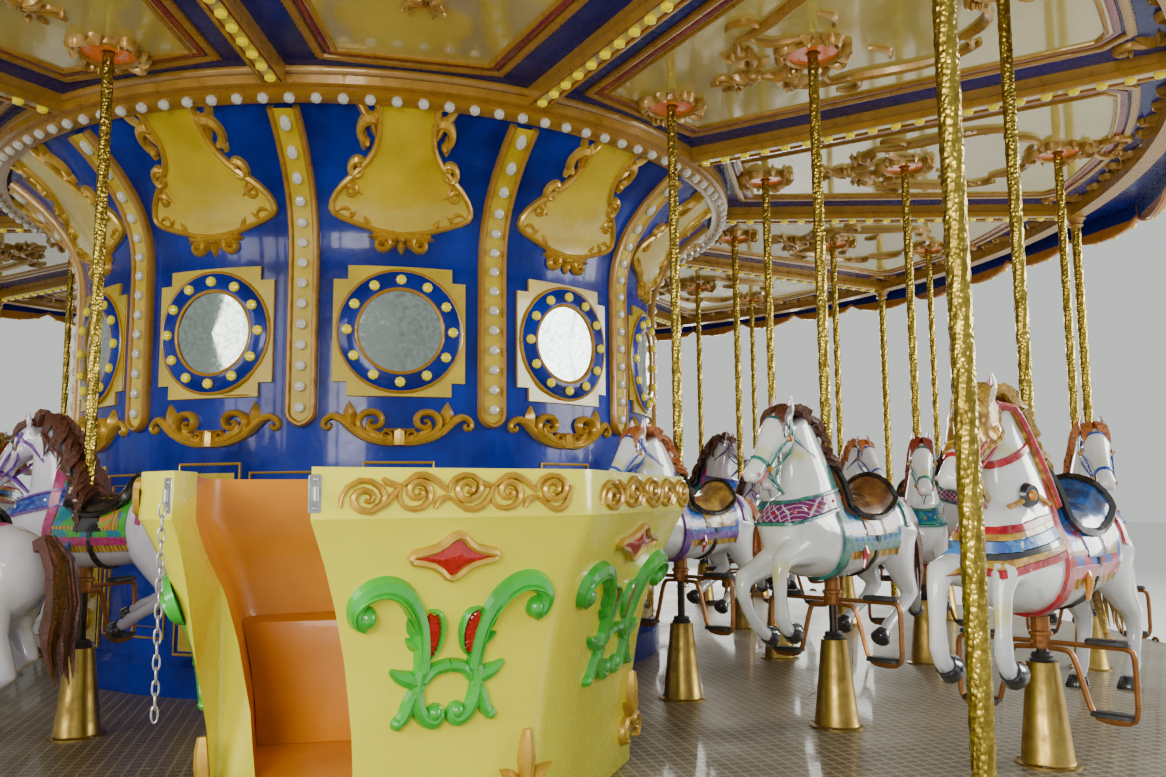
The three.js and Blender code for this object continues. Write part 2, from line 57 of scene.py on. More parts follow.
DECK_SEAM = 3.36
DRUM = 2.018
COVE = 2.35
RIM = 3.14
RIM_RADIUS = 2.54
COVE_CURVE = 2.4
CEILING = 3.24
CORNICE = 2.6
POST_CIRCLE = 5.29
BOARDS = 5.57
BOARDS_FOOT = 3.05
BOARDS_TOP = 3.7
ROOF_TOP = 5.26
ROWS = {"inner": (2.9, 0.79), "middle": (3.815, 0.89), "outer": (4.75, 1.0)}
CONE_HEIGHT = 0.39
POLE = 0.028
LAMP = 0.03


# Shapes

def array(values):
    """Numbers as an array that can be reckoned with."""
    return np.asarray(values, dtype=float)


class Shape:
    """Points and faces of one form, with the number of a finish for each face."""

    def __init__(self, points, faces, look=0):
        self.points = array(points).reshape(-1, 3)
        self.faces = faces
        self.looks = [look] * len(faces)

    def moved(self, move):
        """The form after a matrix, or after a function of its array of points."""
        if isinstance(move, Matrix):
            turn = np.array(move)
            points = self.points @ turn[:3, :3].T + turn[:3, 3]
        else:
            points = move(self.points)
        result = Shape(points, self.faces)
        result.looks = self.looks
        return result

    def finished(self, look):
        return Shape(self.points, self.faces, look)


def join(*shapes):
    """One form out of several, given one by one or in lists."""
    flat = []
    for shape in shapes:
        flat.extend(shape if isinstance(shape, (list, tuple)) else [shape])
    start = 0
    points, faces, looks = [], [], []
    for shape in flat:
        points.append(shape.points)
        faces.extend([tuple(start + i for i in face) for face in shape.faces])
        looks.extend(shape.looks)
        start += len(shape.points)
    result = Shape(np.vstack(points), faces)
    result.looks = looks
    return result


def metres(rows):
    """Rows of numbers that were written in thousandths."""
    return [tuple(value / 1000 for value in row) for row in rows]


def turn(angle):
    """A turning about the upright axis."""
    return Matrix.Rotation(angle, 4, "Z")


def around(shape, bays=range(BAYS), offset=0.0):
    """The same form in several bays."""
    return join([shape.moved(turn((bay + offset) * BAY)) for bay in bays])


def mirrored(shape):
    """The form and its mirror image across the bay's middle."""
    flip = Matrix.Diagonal((-1, 1, 1, 1))
    other = shape.moved(flip)
    other.faces = [tuple(reversed(face)) for face in other.faces]
    return join(shape, other)


def grid(points, ring=False, loop=False, capped=False, look=0):
    """Rows of points skinned with four-sided faces; ring closes each row, loop the last row to the first."""
    points = array(points)
    rows, columns = points.shape[:2]
    faces = []
    for row in range(rows if loop else rows - 1):
        after = (row + 1) % rows
        for column in range(columns if ring else columns - 1):
            right = (column + 1) % columns
            faces.append((row * columns + column, row * columns + right,
                          after * columns + right, after * columns + column))
    if capped:
        faces.append(tuple(range(columns - 1, -1, -1)))
        faces.append(tuple((rows - 1) * columns + column for column in range(columns)))
    return Shape(points, faces, look)


def round_steps(count, start=0.0):
    """Angles set evenly round a full turn."""
    return (np.arange(count) + start) * 2 * pi / count


def lathe(profile, sides=24, capped=False, look=0):
    """A profile of radius and height turned about Z; a closed one gives a ring, a capped one a solid."""
    rows = [[(r * cos(a), r * sin(a), z) for a in round_steps(sides)] for r, z in profile]
    return grid(rows, ring=True, capped=capped, look=look)


def slab(outline, low, high, edge=0.0, look=0):
    """An outline in plan raised between two heights, with an eased upper edge."""
    outline = array(outline)
    rings = [(outline, low), (outline, high)]
    if edge:
        rings = [(outline, low), (outline, high - edge), (inset(outline, edge), high)]
    rows = [[(x, y, z) for x, y in ring] for ring, z in rings]
    return grid(rows, ring=True, capped=True, look=look)


def inset(outline, distance):
    """Every edge of a counter-clockwise outline moved inwards."""
    outline = array(outline)
    after = np.roll(outline, -1, axis=0) - outline
    after /= np.linalg.norm(after, axis=1)[:, None]
    before = np.roll(after, 1, axis=0)
    normal = np.stack([-(after + before)[:, 1], (after + before)[:, 0]], axis=1)
    normal /= np.linalg.norm(normal, axis=1)[:, None]
    lean = -normal[:, 0] * after[:, 1] + normal[:, 1] * after[:, 0]
    return outline + normal * (distance / np.maximum(lean, 0.35))[:, None]


def cage(path, up=(0, 0, 1), loop=False):
    """The directions across and over a path at each of its points."""
    path = array(path)
    if loop:
        along = np.roll(path, -1, axis=0) - np.roll(path, 1, axis=0)
    else:
        along = np.gradient(path, axis=0)
    along /= np.maximum(np.linalg.norm(along, axis=1), 1e-9)[:, None]
    over = array(up)
    overs = []
    for direction in along:
        over = over - direction * over.dot(direction)
        if np.linalg.norm(over) < 1e-6:
            over = np.cross(direction, (1, 0, 0)) + np.cross(direction, (0, 1, 0)) * 0.01
        over = over / np.linalg.norm(over)
        overs.append(over)
    overs = np.array(overs)
    return np.cross(along, overs), overs


def tube(path, radius, sides=8, up=(0, 0, 1), loop=False, flat=1.0, look=0):
    """A round bar along a path; radius is one number or one for each point."""
    path = array(path)
    across, over = cage(path, up, loop)
    radii = np.broadcast_to(array(radius), (len(path),))
    angles = round_steps(sides, 0.5)
    rows = []
    for i, centre in enumerate(path):
        section = np.outer(np.cos(angles), across[i]) + flat * np.outer(np.sin(angles), over[i])
        rows.append(centre + radii[i] * section)
    return grid(rows, ring=True, loop=loop, capped=not loop, look=look)


def moulding(path, profile, loop=False, seated=False, look=0):
    """A profile of (across, over) points swept along a path; a seated one has no underside."""
    path = array(path)
    across, over = cage(path, loop=loop)
    rows = [[path[i] + u * across[i] + v * over[i] for u, v in profile] for i in range(len(path))]
    return grid(rows, ring=not seated, loop=loop, capped=not loop, look=look)


def curl(start, heading, length, first, last, steps=14):
    """A path in the plane whose turning, in radians a metre, runs evenly from first to last."""
    share = (np.arange(steps) + 0.5) / steps
    step = length / steps
    angles = radians(heading) + np.cumsum(first + (last - first) * share) * step
    points = np.cumsum(np.stack([np.cos(angles), np.sin(angles)], axis=1) * step, axis=0)
    return np.vstack([[0, 0], points]) + array(start)


ROUND_TOP = [(1, -0.1), (0.7, 0.7), (0, 1), (-0.7, 0.7), (-1, -0.1)]
LEAF_TOP = [(1, -0.1), (0.4, 0.5), (0, 1), (-0.4, 0.5), (-1, -0.1)]


def ridge(path, width, height, start=0.25, end=0.25, peak=0.4, section=ROUND_TOP):
    """A carved rib on the plane, widest at peak and drawn in to shares start and end of its width."""
    path = array(path)
    share = np.linspace(0, 1, len(path))
    swell = np.where(share < peak,
                     start + (1 - start) * np.sin(share / peak * pi / 2),
                     end + (1 - end) * np.cos((share - peak) / (1 - peak) * pi / 2))
    along = np.gradient(path, axis=0)
    along /= np.maximum(np.linalg.norm(along, axis=1), 1e-9)[:, None]
    side = np.stack([-along[:, 1], along[:, 0]], axis=1)
    rows = []
    for i, point in enumerate(path):
        wide = width / 2 * swell[i]
        tall = height * (0.35 + 0.65 * swell[i])
        rows.append([(*(point + side[i] * wide * across), tall * over) for across, over in section])
    return grid(rows, capped=True)


def dome(centre, radius, height, sides=10):
    """A low boss on the plane."""
    rise = [(radius * cos(share * pi / 2), height * sin(share * pi / 2)) for share in (0.0, 0.5, 0.9)]
    return at(lathe([(radius, -0.002)] + rise, sides, capped=True), *centre)


def leaf(root, heading, length, width, height, bend=0.0):
    """A pointed leaf with a raised middle rib."""
    path = curl(root, heading, length, bend, bend, 5)
    return ridge(path, width, height, start=0.45, end=0.02, peak=0.45, section=LEAF_TOP)


def volute(start, heading, length, first, last, width, height, boss=True):
    """A rib that curls up round a boss."""
    path = curl(start, heading, length, first, last, 13)
    parts = [ridge(path, width, height, start=0.3, end=0.45, peak=0.35)]
    if boss:
        parts.append(dome(path[-1], width * 0.36, height * 1.15, 7))
    return join(parts)


def smooth(path, count):
    """A rounded path of a given number of points through the ones given."""
    path = array(path)
    padded = np.vstack([2 * path[0] - path[1], path, 2 * path[-1] - path[-2]])
    result = []
    for t in np.linspace(0, len(path) - 1, count):
        i = min(int(t), len(path) - 2)
        f = t - i
        a, b, c, d = padded[i:i + 4]
        result.append(0.5 * (2 * b + (c - a) * f + (2 * a - 5 * b + 4 * c - d) * f ** 2
                             + (3 * b - a - 3 * c + d) * f ** 3))
    return np.array(result)


def rounded(outline, radius, steps=4):
    """A closed outline with its corners rounded."""
    outline = array(outline)
    result = []
    for i, corner in enumerate(outline):
        to_before = outline[i - 1] - corner
        to_after = outline[(i + 1) % len(outline)] - corner
        reach = min(radius, 0.45 * np.linalg.norm(to_before), 0.45 * np.linalg.norm(to_after))
        a = corner + to_before / np.linalg.norm(to_before) * reach
        b = corner + to_after / np.linalg.norm(to_after) * reach
        for t in np.linspace(0, 1, steps):
            result.append((1 - t) ** 2 * a + 2 * t * (1 - t) * corner + t ** 2 * b)
    return np.array(result)


def solid_mesh(name, shape, finishes):
    """A Blender mesh of a form with its faces turned outwards."""
    mesh = bpy.data.meshes.new(name)
    mesh.from_pydata(shape.points.tolist(), [], shape.faces)
    for finish in finishes:
        mesh.materials.append(finish)
    mesh.polygons.foreach_set("material_index", shape.looks)
    work = bmesh.new()
    work.from_mesh(mesh)
    bmesh.ops.recalc_face_normals(work, faces=work.faces)
    work.to_mesh(mesh)
    work.free()
    return mesh


def added(name, data):
    """A new object in the scene round a mesh, a light or a camera."""
    made = bpy.data.objects.new(name, data)
    bpy.context.scene.collection.objects.link(made)
    return made


def piece(name, shape, finishes, replaces=(), crease=40, body="turntable"):
    """A Blender object of a form, riding on a body of the frame."""
    mesh = solid_mesh(name, shape, finishes)
    mesh.shade_smooth()
    mesh.set_sharp_from_angle(angle=radians(crease))
    made = added(name, mesh)
    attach(made, body)
    if replaces:
        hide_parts(*replaces)
    return made


# Finishes

class Socket:
    """A value in a finish that works in Python expressions."""

    def __init__(self, finish, link):
        self.finish = finish
        self.link = link

    def _maths(self, operation, *values, **settings):
        settings["operation"] = operation
        return self.finish.node("ShaderNodeMath", settings, *values)

    def __add__(self, other):
        return self._maths("ADD", self, other)

    def __radd__(self, other):
        return self._maths("ADD", other, self)

    def __sub__(self, other):
        return self._maths("SUBTRACT", self, other)

    def __rsub__(self, other):
        return self._maths("SUBTRACT", other, self)

    def __mul__(self, other):
        return self._maths("MULTIPLY", self, other)

    def __rmul__(self, other):
        return self._maths("MULTIPLY", other, self)

    def sine(self):
        return self._maths("SINE", self)

    def size(self):
        return self._maths("ABSOLUTE", self)

    def above(self, edge):
        return self._maths("GREATER_THAN", self, edge)

    def wrapped(self, period):
        return self._maths("FLOORED_MODULO", self, period)

    def capped(self):
        return self._maths("ADD", self, 0.0, use_clamp=True)

    def over(self, low, high):
        """How far the value is between two limits, from 0 to 1."""
        return self.finish.node("ShaderNodeMapRange", {"clamp": True}, self, low, high)


class Finish:
    """A material of nodes round one shader."""

    def __init__(self, name, roughness=0.3, metallic=0.0, coat=0.0):
        self.material = bpy.data.materials.new(name)
        self.material.use_nodes = True
        self.tree = self.material.node_tree
        self.shader = self.tree.nodes["Principled BSDF"]
        self.set("Roughness", roughness)
        self.set("Metallic", metallic)
        self.set("Coat Weight", coat)
        self.set("Coat Roughness", 0.06)
        self.place = self.node("ShaderNodeTexCoord", {}, output="Object")

    def node(self, kind, settings, *values, output=0, **named):
        """A node with its settings, then its sockets in order or by name."""
        made = self.tree.nodes.new(kind)
        for word, value in settings.items():
            setattr(made, word, value)
        for key, value in list(enumerate(values)) + list(named.items()):
            self.feed(made.inputs[key], value)
        return Socket(self, made.outputs[output])

    def feed(self, socket, value):
        """Links a value that varies, or sets one that doesn't."""
        if isinstance(value, Socket):
            self.tree.links.new(value.link, socket)
        else:
            socket.default_value = value

    def set(self, name, value):
        self.feed(self.shader.inputs[name], value)

    def noise(self, scale, detail=3.0, roughness=0.55):
        return self.node("ShaderNodeTexNoise", {}, Vector=self.place, Scale=scale, Detail=detail,
                         Roughness=roughness)

    def axis(self, letter):
        return self.node("ShaderNodeSeparateXYZ", {}, self.place, output=letter)

    def corner(self):
        """Near 1 on raised edges and near 0 in hollows; used to paint highlights on edges and shade in
        hollows.
        """
        return self.node("ShaderNodeNewGeometry", {}, output="Pointiness").over(0.44, 0.56)

    def mix(self, share, first, second):
        """Two colours mixed by a share."""
        colours = [c if isinstance(c, Socket) else (*c, 1.0) for c in (first, second)]
        made = self.tree.nodes.new("ShaderNodeMix")
        made.data_type = "RGBA"
        for key, value in zip((0, 6, 7), (share, *colours)):
            self.feed(made.inputs[key], value)
        return Socket(self, made.outputs[2])

    def relief(self, height, strength, distance=0.002):
        self.set("Normal", self.node("ShaderNodeBump", {}, Strength=strength, Distance=distance,
                                     Height=height))


def gloss_paint(name, light, deep, mottle=2.5, coat=0.5, roughness=0.25, wave=0.04, gleam=0.5):
    """Sprayed gloss paint: slow changes of shade, faint dust and an uneven skin."""
    finish = Finish(name, roughness=roughness, coat=coat)
    finish.set("Specular IOR Level", gleam)
    patches = finish.noise(mottle, 4.0).over(0.35, 0.7)
    colour = finish.mix(patches, deep, light)
    finish.set("Base Color", colour)
    dust = finish.noise(23.0, 5.0).over(0.5, 0.8)
    finish.set("Roughness", dust * 0.18 + roughness)
    finish.relief(finish.noise(9.0, 2.0), wave, 0.02)
    return finish.material


def gold_paint(name, light, deep, metallic=0.35):
    """Gold paint on carving: painted shade darkens the hollows and a painted highlight lightens the ridges,
    over brushed streaks.
    """
    finish = Finish(name, metallic=metallic, coat=0.4)
    brushed = finish.noise(14.0, 4.0).over(0.3, 0.75)
    # Painted shade and highlight: pointiness mixes the deep colour into hollows and the light colour onto
    # ridges; the noise adds brushed streaks.
    share = (finish.corner() * 0.75 + brushed * 0.35).capped()
    finish.set("Base Color", finish.mix(share, deep, light))
    finish.set("Roughness", brushed * 0.2 + 0.224)
    finish.relief(finish.noise(60.0, 3.0), 0.15, 0.004)
    return finish.material


def polished_brass(name, light, deep, roughness=0.22, studs=0.0):
    """Brass tube with handling marks and darker tarnish, plain or embossed all over with small studs whose
    hollows are darkened with painted shade.
    """
    finish = Finish(name, roughness=roughness, metallic=1.0)
    tarnish = finish.noise(18.0, 5.0).over(0.4, 0.75)
    colour = finish.mix(tarnish, light, deep)
    finish.set("Roughness", tarnish * 0.22 + roughness)
    if studs:
        hollow = finish.node("ShaderNodeTexVoronoi", {}, Vector=finish.place, Scale=studs).over(0.15, 0.75)
        # Painted shade: the deep colour is mixed into the hollows between the studs.
        colour = finish.mix(hollow * 0.6, colour, deep)
        finish.relief(1 - hollow, 0.55, 0.004)
    else:
        finish.relief(finish.noise(130.0, 2.0), 0.12, 0.002)
    finish.set("Base Color", colour)
    return finish.material


def tread_plate(name):
    """Worn steel plate: groups of pressed bars that turn from square to square, in a pale lattice."""
    finish = Finish(name, roughness=0.3, metallic=0.2, coat=0.15)
    square = 0.056
    x, y = finish.axis("X"), finish.axis("Y")
    turned = (x.wrapped(2 * square).above(square) - y.wrapped(2 * square).above(square)).size()
    period = 4 * 2 * pi / square
    bars_x = (x * period).sine().over(0.0, 0.7)
    bars_y = (y * period).sine().over(0.0, 0.7)
    aside = [(along.wrapped(square) - square / 2).size() for along in (x, y)]
    inside = aside[0].over(square * 0.42, square * 0.34) * aside[1].over(square * 0.42, square * 0.34)
    bars = (turned * bars_x + (1 - turned) * bars_y) * inside
    edges = [distance.over(square * 0.36, square * 0.42) for distance in aside]
    lattice = (edges[0] + edges[1]).capped()
    grime = finish.noise(1.6, 6.0, 0.65).over(0.35, 0.7)
    tone = finish.mix(grime, (0.155, 0.12, 0.075), (0.08, 0.062, 0.04))
    tone = finish.mix(bars * 0.45, tone, (0.34, 0.28, 0.18))
    finish.set("Base Color", finish.mix(lattice * 0.8, tone, (0.4, 0.33, 0.22)))
    finish.set("Roughness", grime * 0.2 - bars * 0.12 + 0.38)
    finish.relief((bars + lattice).capped(), 0.8, 0.003)
    return finish.material


def lamp_glass(name, colour, glow, roughness=0.12):
    """A faceted lamp cover, lit from inside."""
    finish = Finish(name, roughness=roughness, coat=0.6)
    shade = finish.noise(90.0, 2.0).over(0.35, 0.65)
    finish.set("Base Color", finish.mix(shade, colour, tuple(channel * 0.62 for channel in colour)))
    finish.set("Emission Color", (*colour, 1.0))
    finish.set("Emission Strength", glow)
    return finish.material


def plain_metal(name, colour, roughness=0.35, metallic=0.9):
    """Bare or painted metal with scuffs."""
    finish = Finish(name, roughness=roughness, metallic=metallic)
    scuffs = finish.noise(40.0, 5.0).over(0.35, 0.75)
    finish.set("Base Color", finish.mix(scuffs, colour, tuple(channel * 0.6 for channel in colour)))
    finish.set("Roughness", scuffs * 0.2 + roughness)
    return finish.material


def rubber(name):
    """Black rubber, scuffed to grey."""
    finish = Finish(name, roughness=0.55)
    wear = finish.noise(30.0, 4.0).over(0.45, 0.8)
    finish.set("Base Color", finish.mix(wear, (0.012, 0.012, 0.014), (0.062, 0.062, 0.064)))
    return finish.material


BLUE = gloss_paint("blue_drum_gloss", (0.003, 0.028, 0.4), (0.002, 0.008, 0.15), mottle=2.2, coat=0.22,
                   roughness=0.2, wave=0.12, gleam=0.15)
BLUE_BAND = gloss_paint("blue_ceiling_gloss", (0.004, 0.018, 0.26), (0.003, 0.008, 0.12), coat=0.12,
                        gleam=0.2)
YELLOW = gloss_paint("yellow_drum_gloss", (0.72, 0.54, 0.022), (0.5, 0.35, 0.014), mottle=3.0, coat=0.5)
TUB_YELLOW = gloss_paint("yellow_tub_gloss", (0.88, 0.82, 0.045), (0.76, 0.69, 0.03), mottle=1.5, coat=0.6,
                         wave=0.03)
TUB_ORANGE = gloss_paint("orange_tub_gloss", (0.88, 0.36, 0.001), (0.64, 0.23, 0.001), mottle=1.8, coat=0.2,
                         roughness=0.4)
GOLD = gold_paint("gold_carving_paint", (0.62, 0.37, 0.035), (0.17, 0.065, 0.006))
GOLD_LINE = gold_paint("gold_moulding_paint", (0.44, 0.225, 0.02), (0.2, 0.085, 0.008), metallic=0.2)
DEEP_GOLD = gold_paint("ceiling_carving_paint", (0.46, 0.25, 0.035), (0.12, 0.045, 0.006), metallic=0.25)
BRASS = polished_brass("embossed_brass", (0.58, 0.43, 0.075), (0.17, 0.115, 0.015), studs=62.0)
CONE_BRASS = polished_brass("sheet_brass", (0.47, 0.32, 0.085), (0.25, 0.155, 0.035), roughness=0.3)
TREAD = tread_plate("worn_tread_plate")
YELLOW_LAMP = lamp_glass("yellow_lamp_cover", (0.88, 0.72, 0.005), 0.3)
CLEAR_LAMP = lamp_glass("clear_lamp_cover", (0.72, 0.72, 0.64), 0.1, 0.06)
CREAM = gloss_paint("cream_ceiling_gloss", (0.66, 0.54, 0.13), (0.5, 0.39, 0.08), mottle=1.2, coat=1.0,
                    roughness=0.1)
BOARD_GOLD = gold_paint("valance_gold_paint", (0.5, 0.19, 0.018), (0.26, 0.085, 0.008), metallic=0.1)
CANOPY_BLUE = gloss_paint("canopy_blue_cloth", (0.02, 0.05, 0.38), (0.015, 0.03, 0.23), coat=0.0,
                          roughness=0.6)
CANOPY_CREAM = gloss_paint("canopy_cream_cloth", (0.8, 0.72, 0.5), (0.64, 0.56, 0.38), coat=0.0,
                           roughness=0.6)
WARM_GLOW = lamp_glass("warm_lamp_well", (0.6, 0.12, 0.01), 0.35)
BLUE_STONE = lamp_glass("blue_glass_stone", (0.02, 0.1, 0.55), 0.0, 0.05)
MIRROR = plain_metal("mirror_glass", (0.36, 0.42, 0.39), roughness=0.02, metallic=1.0)
RED_PAINT = gloss_paint("dark_red_paint", (0.3, 0.01, 0.008), (0.16, 0.005, 0.005), coat=0.4)
TUB_GREEN = gloss_paint("green_carving_paint", (0.05, 0.52, 0.035), (0.02, 0.3, 0.02), mottle=6.0, coat=0.7)
RED_STONE = lamp_glass("red_glass_stone", (0.55, 0.012, 0.008), 0.0, 0.08)
BRIGHT_STEEL = plain_metal("galvanised_steel", (0.56, 0.57, 0.58), roughness=0.26)
STEEL = plain_metal("dull_steel", (0.32, 0.33, 0.33))
BASE_STEEL = plain_metal("painted_base_steel", (0.16, 0.17, 0.18), roughness=0.5, metallic=0.4)
BLACK_RUBBER = rubber("black_rubber")


# Centre drum

def flare(level):
    """Radius of the drum's outside at a height above the deck."""
    share = np.clip((array(level) - COVE) / (RIM - COVE), 0, 1.02)
    return DRUM + (RIM_RADIUS - DRUM) * share ** COVE_CURVE


def on_drum(points):
    """Lays (across, height above deck, proud) on the drum in the front bay."""
    u, v, w = points.T
    radius = flare(v)
    slope = (flare(v + 0.01) - flare(v - 0.01)) / 0.02
    lean = np.sqrt(1 + slope ** 2)
    out = radius + w / lean
    angle = u / radius
    return np.stack([out * np.sin(angle), -out * np.cos(angle), DECK + v - w * slope / lean], axis=1)


def lamp(radius=LAMP, sides=8):
    """A faceted lamp cover standing on the plane."""
    profile = [(0.82, -0.1), (1.0, 0.35), (0.86, 0.76), (0.25, 1.06)]
    return lathe([(radius * r, radius * z) for r, z in profile], sides, capped=True)


def at(shape, u, v, w=0.0):
    """The form shifted, on the plane or in space."""
    return shape.moved(Matrix.Translation((u, v, w)))


def spun(shape, angle):
    """The form turned in its own plane, by an angle in degrees."""
    return shape.moved(turn(radians(angle)))


def frame_line(outline, width, height, look=0):
    """A half-round moulding round a closed outline on the plane."""
    path = np.asarray([(u, v, 0) for u, v in outline])
    half = width / 2
    profile = [(-half, -0.004), (-half * 0.8, height * 0.7), (0, height), (half * 0.8, height * 0.7),
               (half, -0.004)]
    return moulding(path, profile, loop=True, seated=True, look=look)


def circle(radius, count=36):
    """Points of a circle in the plane."""
    angles = round_steps(count)
    return np.stack([radius * np.cos(angles), radius * np.sin(angles)], axis=1)


def oblong(left, low, right, high):
    """The corners of a rectangle, from two opposite ones."""
    return [(left, low), (right, low), (right, high), (left, high)]


def divided(outline, step):
    """A closed outline with points added along its longer sides."""
    fine = []
    for i, (u, v) in enumerate(outline):
        after = outline[(i + 1) % len(outline)]
        count = max(1, int(dist((u, v), after) / step))
        fine.extend([(u + (after[0] - u) * k / count, v + (after[1] - v) * k / count) for k in range(count)])
    return fine


def spaced(outline, step):
    """An even number of points set evenly round a closed outline."""
    closed = np.vstack([outline, outline[:1]])
    reach = np.concatenate([[0], np.cumsum(np.linalg.norm(np.diff(closed, axis=0), axis=1))])
    marks = np.linspace(0, reach[-1], 2 * int(reach[-1] / step / 2) + 1)[:-1]
    return np.stack([np.interp(marks, reach, closed[:, i]) for i in (0, 1)], axis=1)


def drum_wall():
    """The drum's outer skin, from the plinth up through the flare to the rim."""
    plinth = [(DRUM + 0.042, DECK + level) for level in (0.0, 0.06, 0.16)] + [(DRUM, DECK + 0.2)]
    wall = [(DRUM, DECK + 0.9), (DRUM, DECK + COVE)]
    cove = [(float(flare(level)), DECK + level) for level in np.linspace(COVE + 0.06, RIM - 0.002, 12)]
    back = [(r - 0.04, z) for r, z in reversed(cove)] + [(DRUM - 0.04, DECK + COVE), (DRUM - 0.04, DECK)]
    return lathe(plinth + wall + cove + back + plinth[:1], sides=144)


MIRROR_LEVEL = 1.98
MIRROR_HALF = 0.364
NOTCH = 0.078
LAMP_CIRCLE = 0.287


def mirror_panel():
    """A notched square with a lamp ring round a mirror."""
    a, b = MIRROR_HALF, MIRROR_HALF - NOTCH
    outline = [(-a, -b), (-b, -b), (-b, -a), (b, -a), (b, -b), (a, -b),
               (a, b), (b, b), (b, a), (-b, a), (-b, b), (-a, b)]
    fine = divided(outline, 0.09)
    plate = slab(fine, -0.03, 0.018, look=0)
    border = frame_line(inset(fine, 0.006), 0.022, 0.014, look=1)
    ring = metres([(335, 12), (335, 26), (330, 30), (246, 30), (246, 12)])
    blue = lathe(ring + ring[:1], 36, look=2)
    rims = [at(frame_line(circle(radius), width, height, look=1), 0, 0, 0.016)
            for radius, width, height in ((0.342, 0.02, 0.014), (0.238, 0.026, 0.016))]
    glass = lathe(metres([(0.1, 10), (236, 10), (236, 19), (0.1, 19)]), 36, look=3)
    lamps = [at(lamp(), x, y, 0.028).finished(4) for x, y in circle(LAMP_CIRCLE, 12)]
    return join(plate, border, rims, blue, glass, lamps)


def swag():
    """Carved garland under the mirror: a collar in the middle, then curls, a leaf and a curled tail."""
    tail = metres([(0, 1361), (75, 1361), (145, 1376), (201, 1399), (245, 1430), (280, 1465), (318, 1493),
                   (352, 1506), (390, 1490), (409, 1459), (387, 1434), (365, 1451), (375, 1465)])
    curled = metres([(38, 1363), (126, 1381), (195, 1419), (220, 1465), (201, 1512), (157, 1529),
                     (113, 1519), (94, 1487), (107, 1453), (142, 1445), (165, 1465), (151, 1483),
                     (137, 1476)])
    small = metres([(47, 1358), (39, 1390), (50, 1415), (75, 1422), (93, 1405), (79, 1388), (63, 1399)])
    half = join(
        ridge(smooth(tail, 22), 0.05, 0.04, start=0.9, end=0.35, peak=0.35),
        ridge(smooth(curled, 24), 0.044, 0.055, start=0.6, end=0.4, peak=0.35),
        ridge(smooth([(0.03, 1.38), (0.1, 1.392), (0.155, 1.42), (0.172, 1.462)], 8), 0.052, 0.034,
              start=0.6, end=0.5),
        ridge(smooth([(0.235, 1.4), (0.272, 1.44), (0.315, 1.478), (0.352, 1.49)], 8), 0.034, 0.05,
              start=0.5, end=0.4),
        ridge(smooth(small, 11), 0.022, 0.044, start=0.6, end=0.6),
        leaf((0.258, 1.445), 82, 0.145, 0.088, 0.046, 0.6),
        ridge(smooth([(0.0, 1.432), (0.044, 1.428), (0.085, 1.436)], 5), 0.02, 0.048, start=0.9, end=0.5),
    )
    middle = ridge(np.array([(0, 1.346), (0, 1.375), (0, 1.405), (0, 1.432)]), 0.078, 0.05, start=0.95,
                   end=0.9)
    return join(mirrored(half), middle)


def cartouche():
    """Yellow panel on the flare in a scrolled frame, with a shell at its foot."""
    side = metres([(0, 2530), (130, 2545), (260, 2585), (365, 2630), (385, 2680), (345, 2755), (255, 2835),
                   (185, 2900), (150, 2970), (145, 3040), (165, 3118)])
    edge = smooth(side, 20)
    panel = mirrored(grid([[(u * share, v, 0.012) for u, v in edge] for share in (1.0, 0.66, 0.33, 0.0)]))
    under = mirrored(grid([[(u * share, v, 0.002) for u, v in edge] for share in (1.0, 0.0)]))
    carving = join(
        ridge(edge, 0.04, 0.034, start=0.8, end=0.9, peak=0.5),
        volute((0.14, 2.545), 178, 0.3, 6.0, 44.0, 0.046, 0.044),
        leaf((0.17, 2.555), 60, 0.085, 0.06, 0.036),
        leaf((0.3, 2.6), 150, 0.075, 0.045, 0.034, -5.0),
        ridge(curl((0.355, 2.64), 130, 0.12, 10, 44), 0.028, 0.03),
        ridge(curl((0.335, 2.775), 168, 0.13, 12, 2), 0.034, 0.03),
        volute((0.275, 2.8), 215, 0.17, 10.0, 54.0, 0.03, 0.034),
        volute((0.205, 2.87), 60, 0.24, -16.0, -40.0, 0.048, 0.04),
        leaf((0.22, 2.93), 75, 0.085, 0.055, 0.038, 6.0),
        leaf((0.155, 2.98), 70, 0.1, 0.05, 0.036, -4.0),
        volute((0.15, 3.035), 50, 0.19, -14.0, -26.0, 0.055, 0.042),
        leaf((0.17, 3.03), 100, 0.1, 0.06, 0.038, 6.0),
        leaf((0.19, 3.05), 28, 0.13, 0.05, 0.036, 4.0),
        leaf((0.03, 2.5), 300, 0.075, 0.045, 0.042, 3.0),
        leaf((0.07, 2.5), 325, 0.085, 0.045, 0.04, 3.0),
        leaf((0.1, 2.52), 345, 0.09, 0.045, 0.038, 3.0),
        ridge(smooth([(0.0, 2.515), (0.08, 2.512), (0.16, 2.53)], 8), 0.05, 0.045, start=0.9, end=0.4),
    )
    crest = join(leaf((0.0, 2.5), 270, 0.085, 0.055, 0.046), dome((0, 2.5), 0.022, 0.055))
    return join(panel, under, mirrored(carving).finished(1), crest.finished(1))


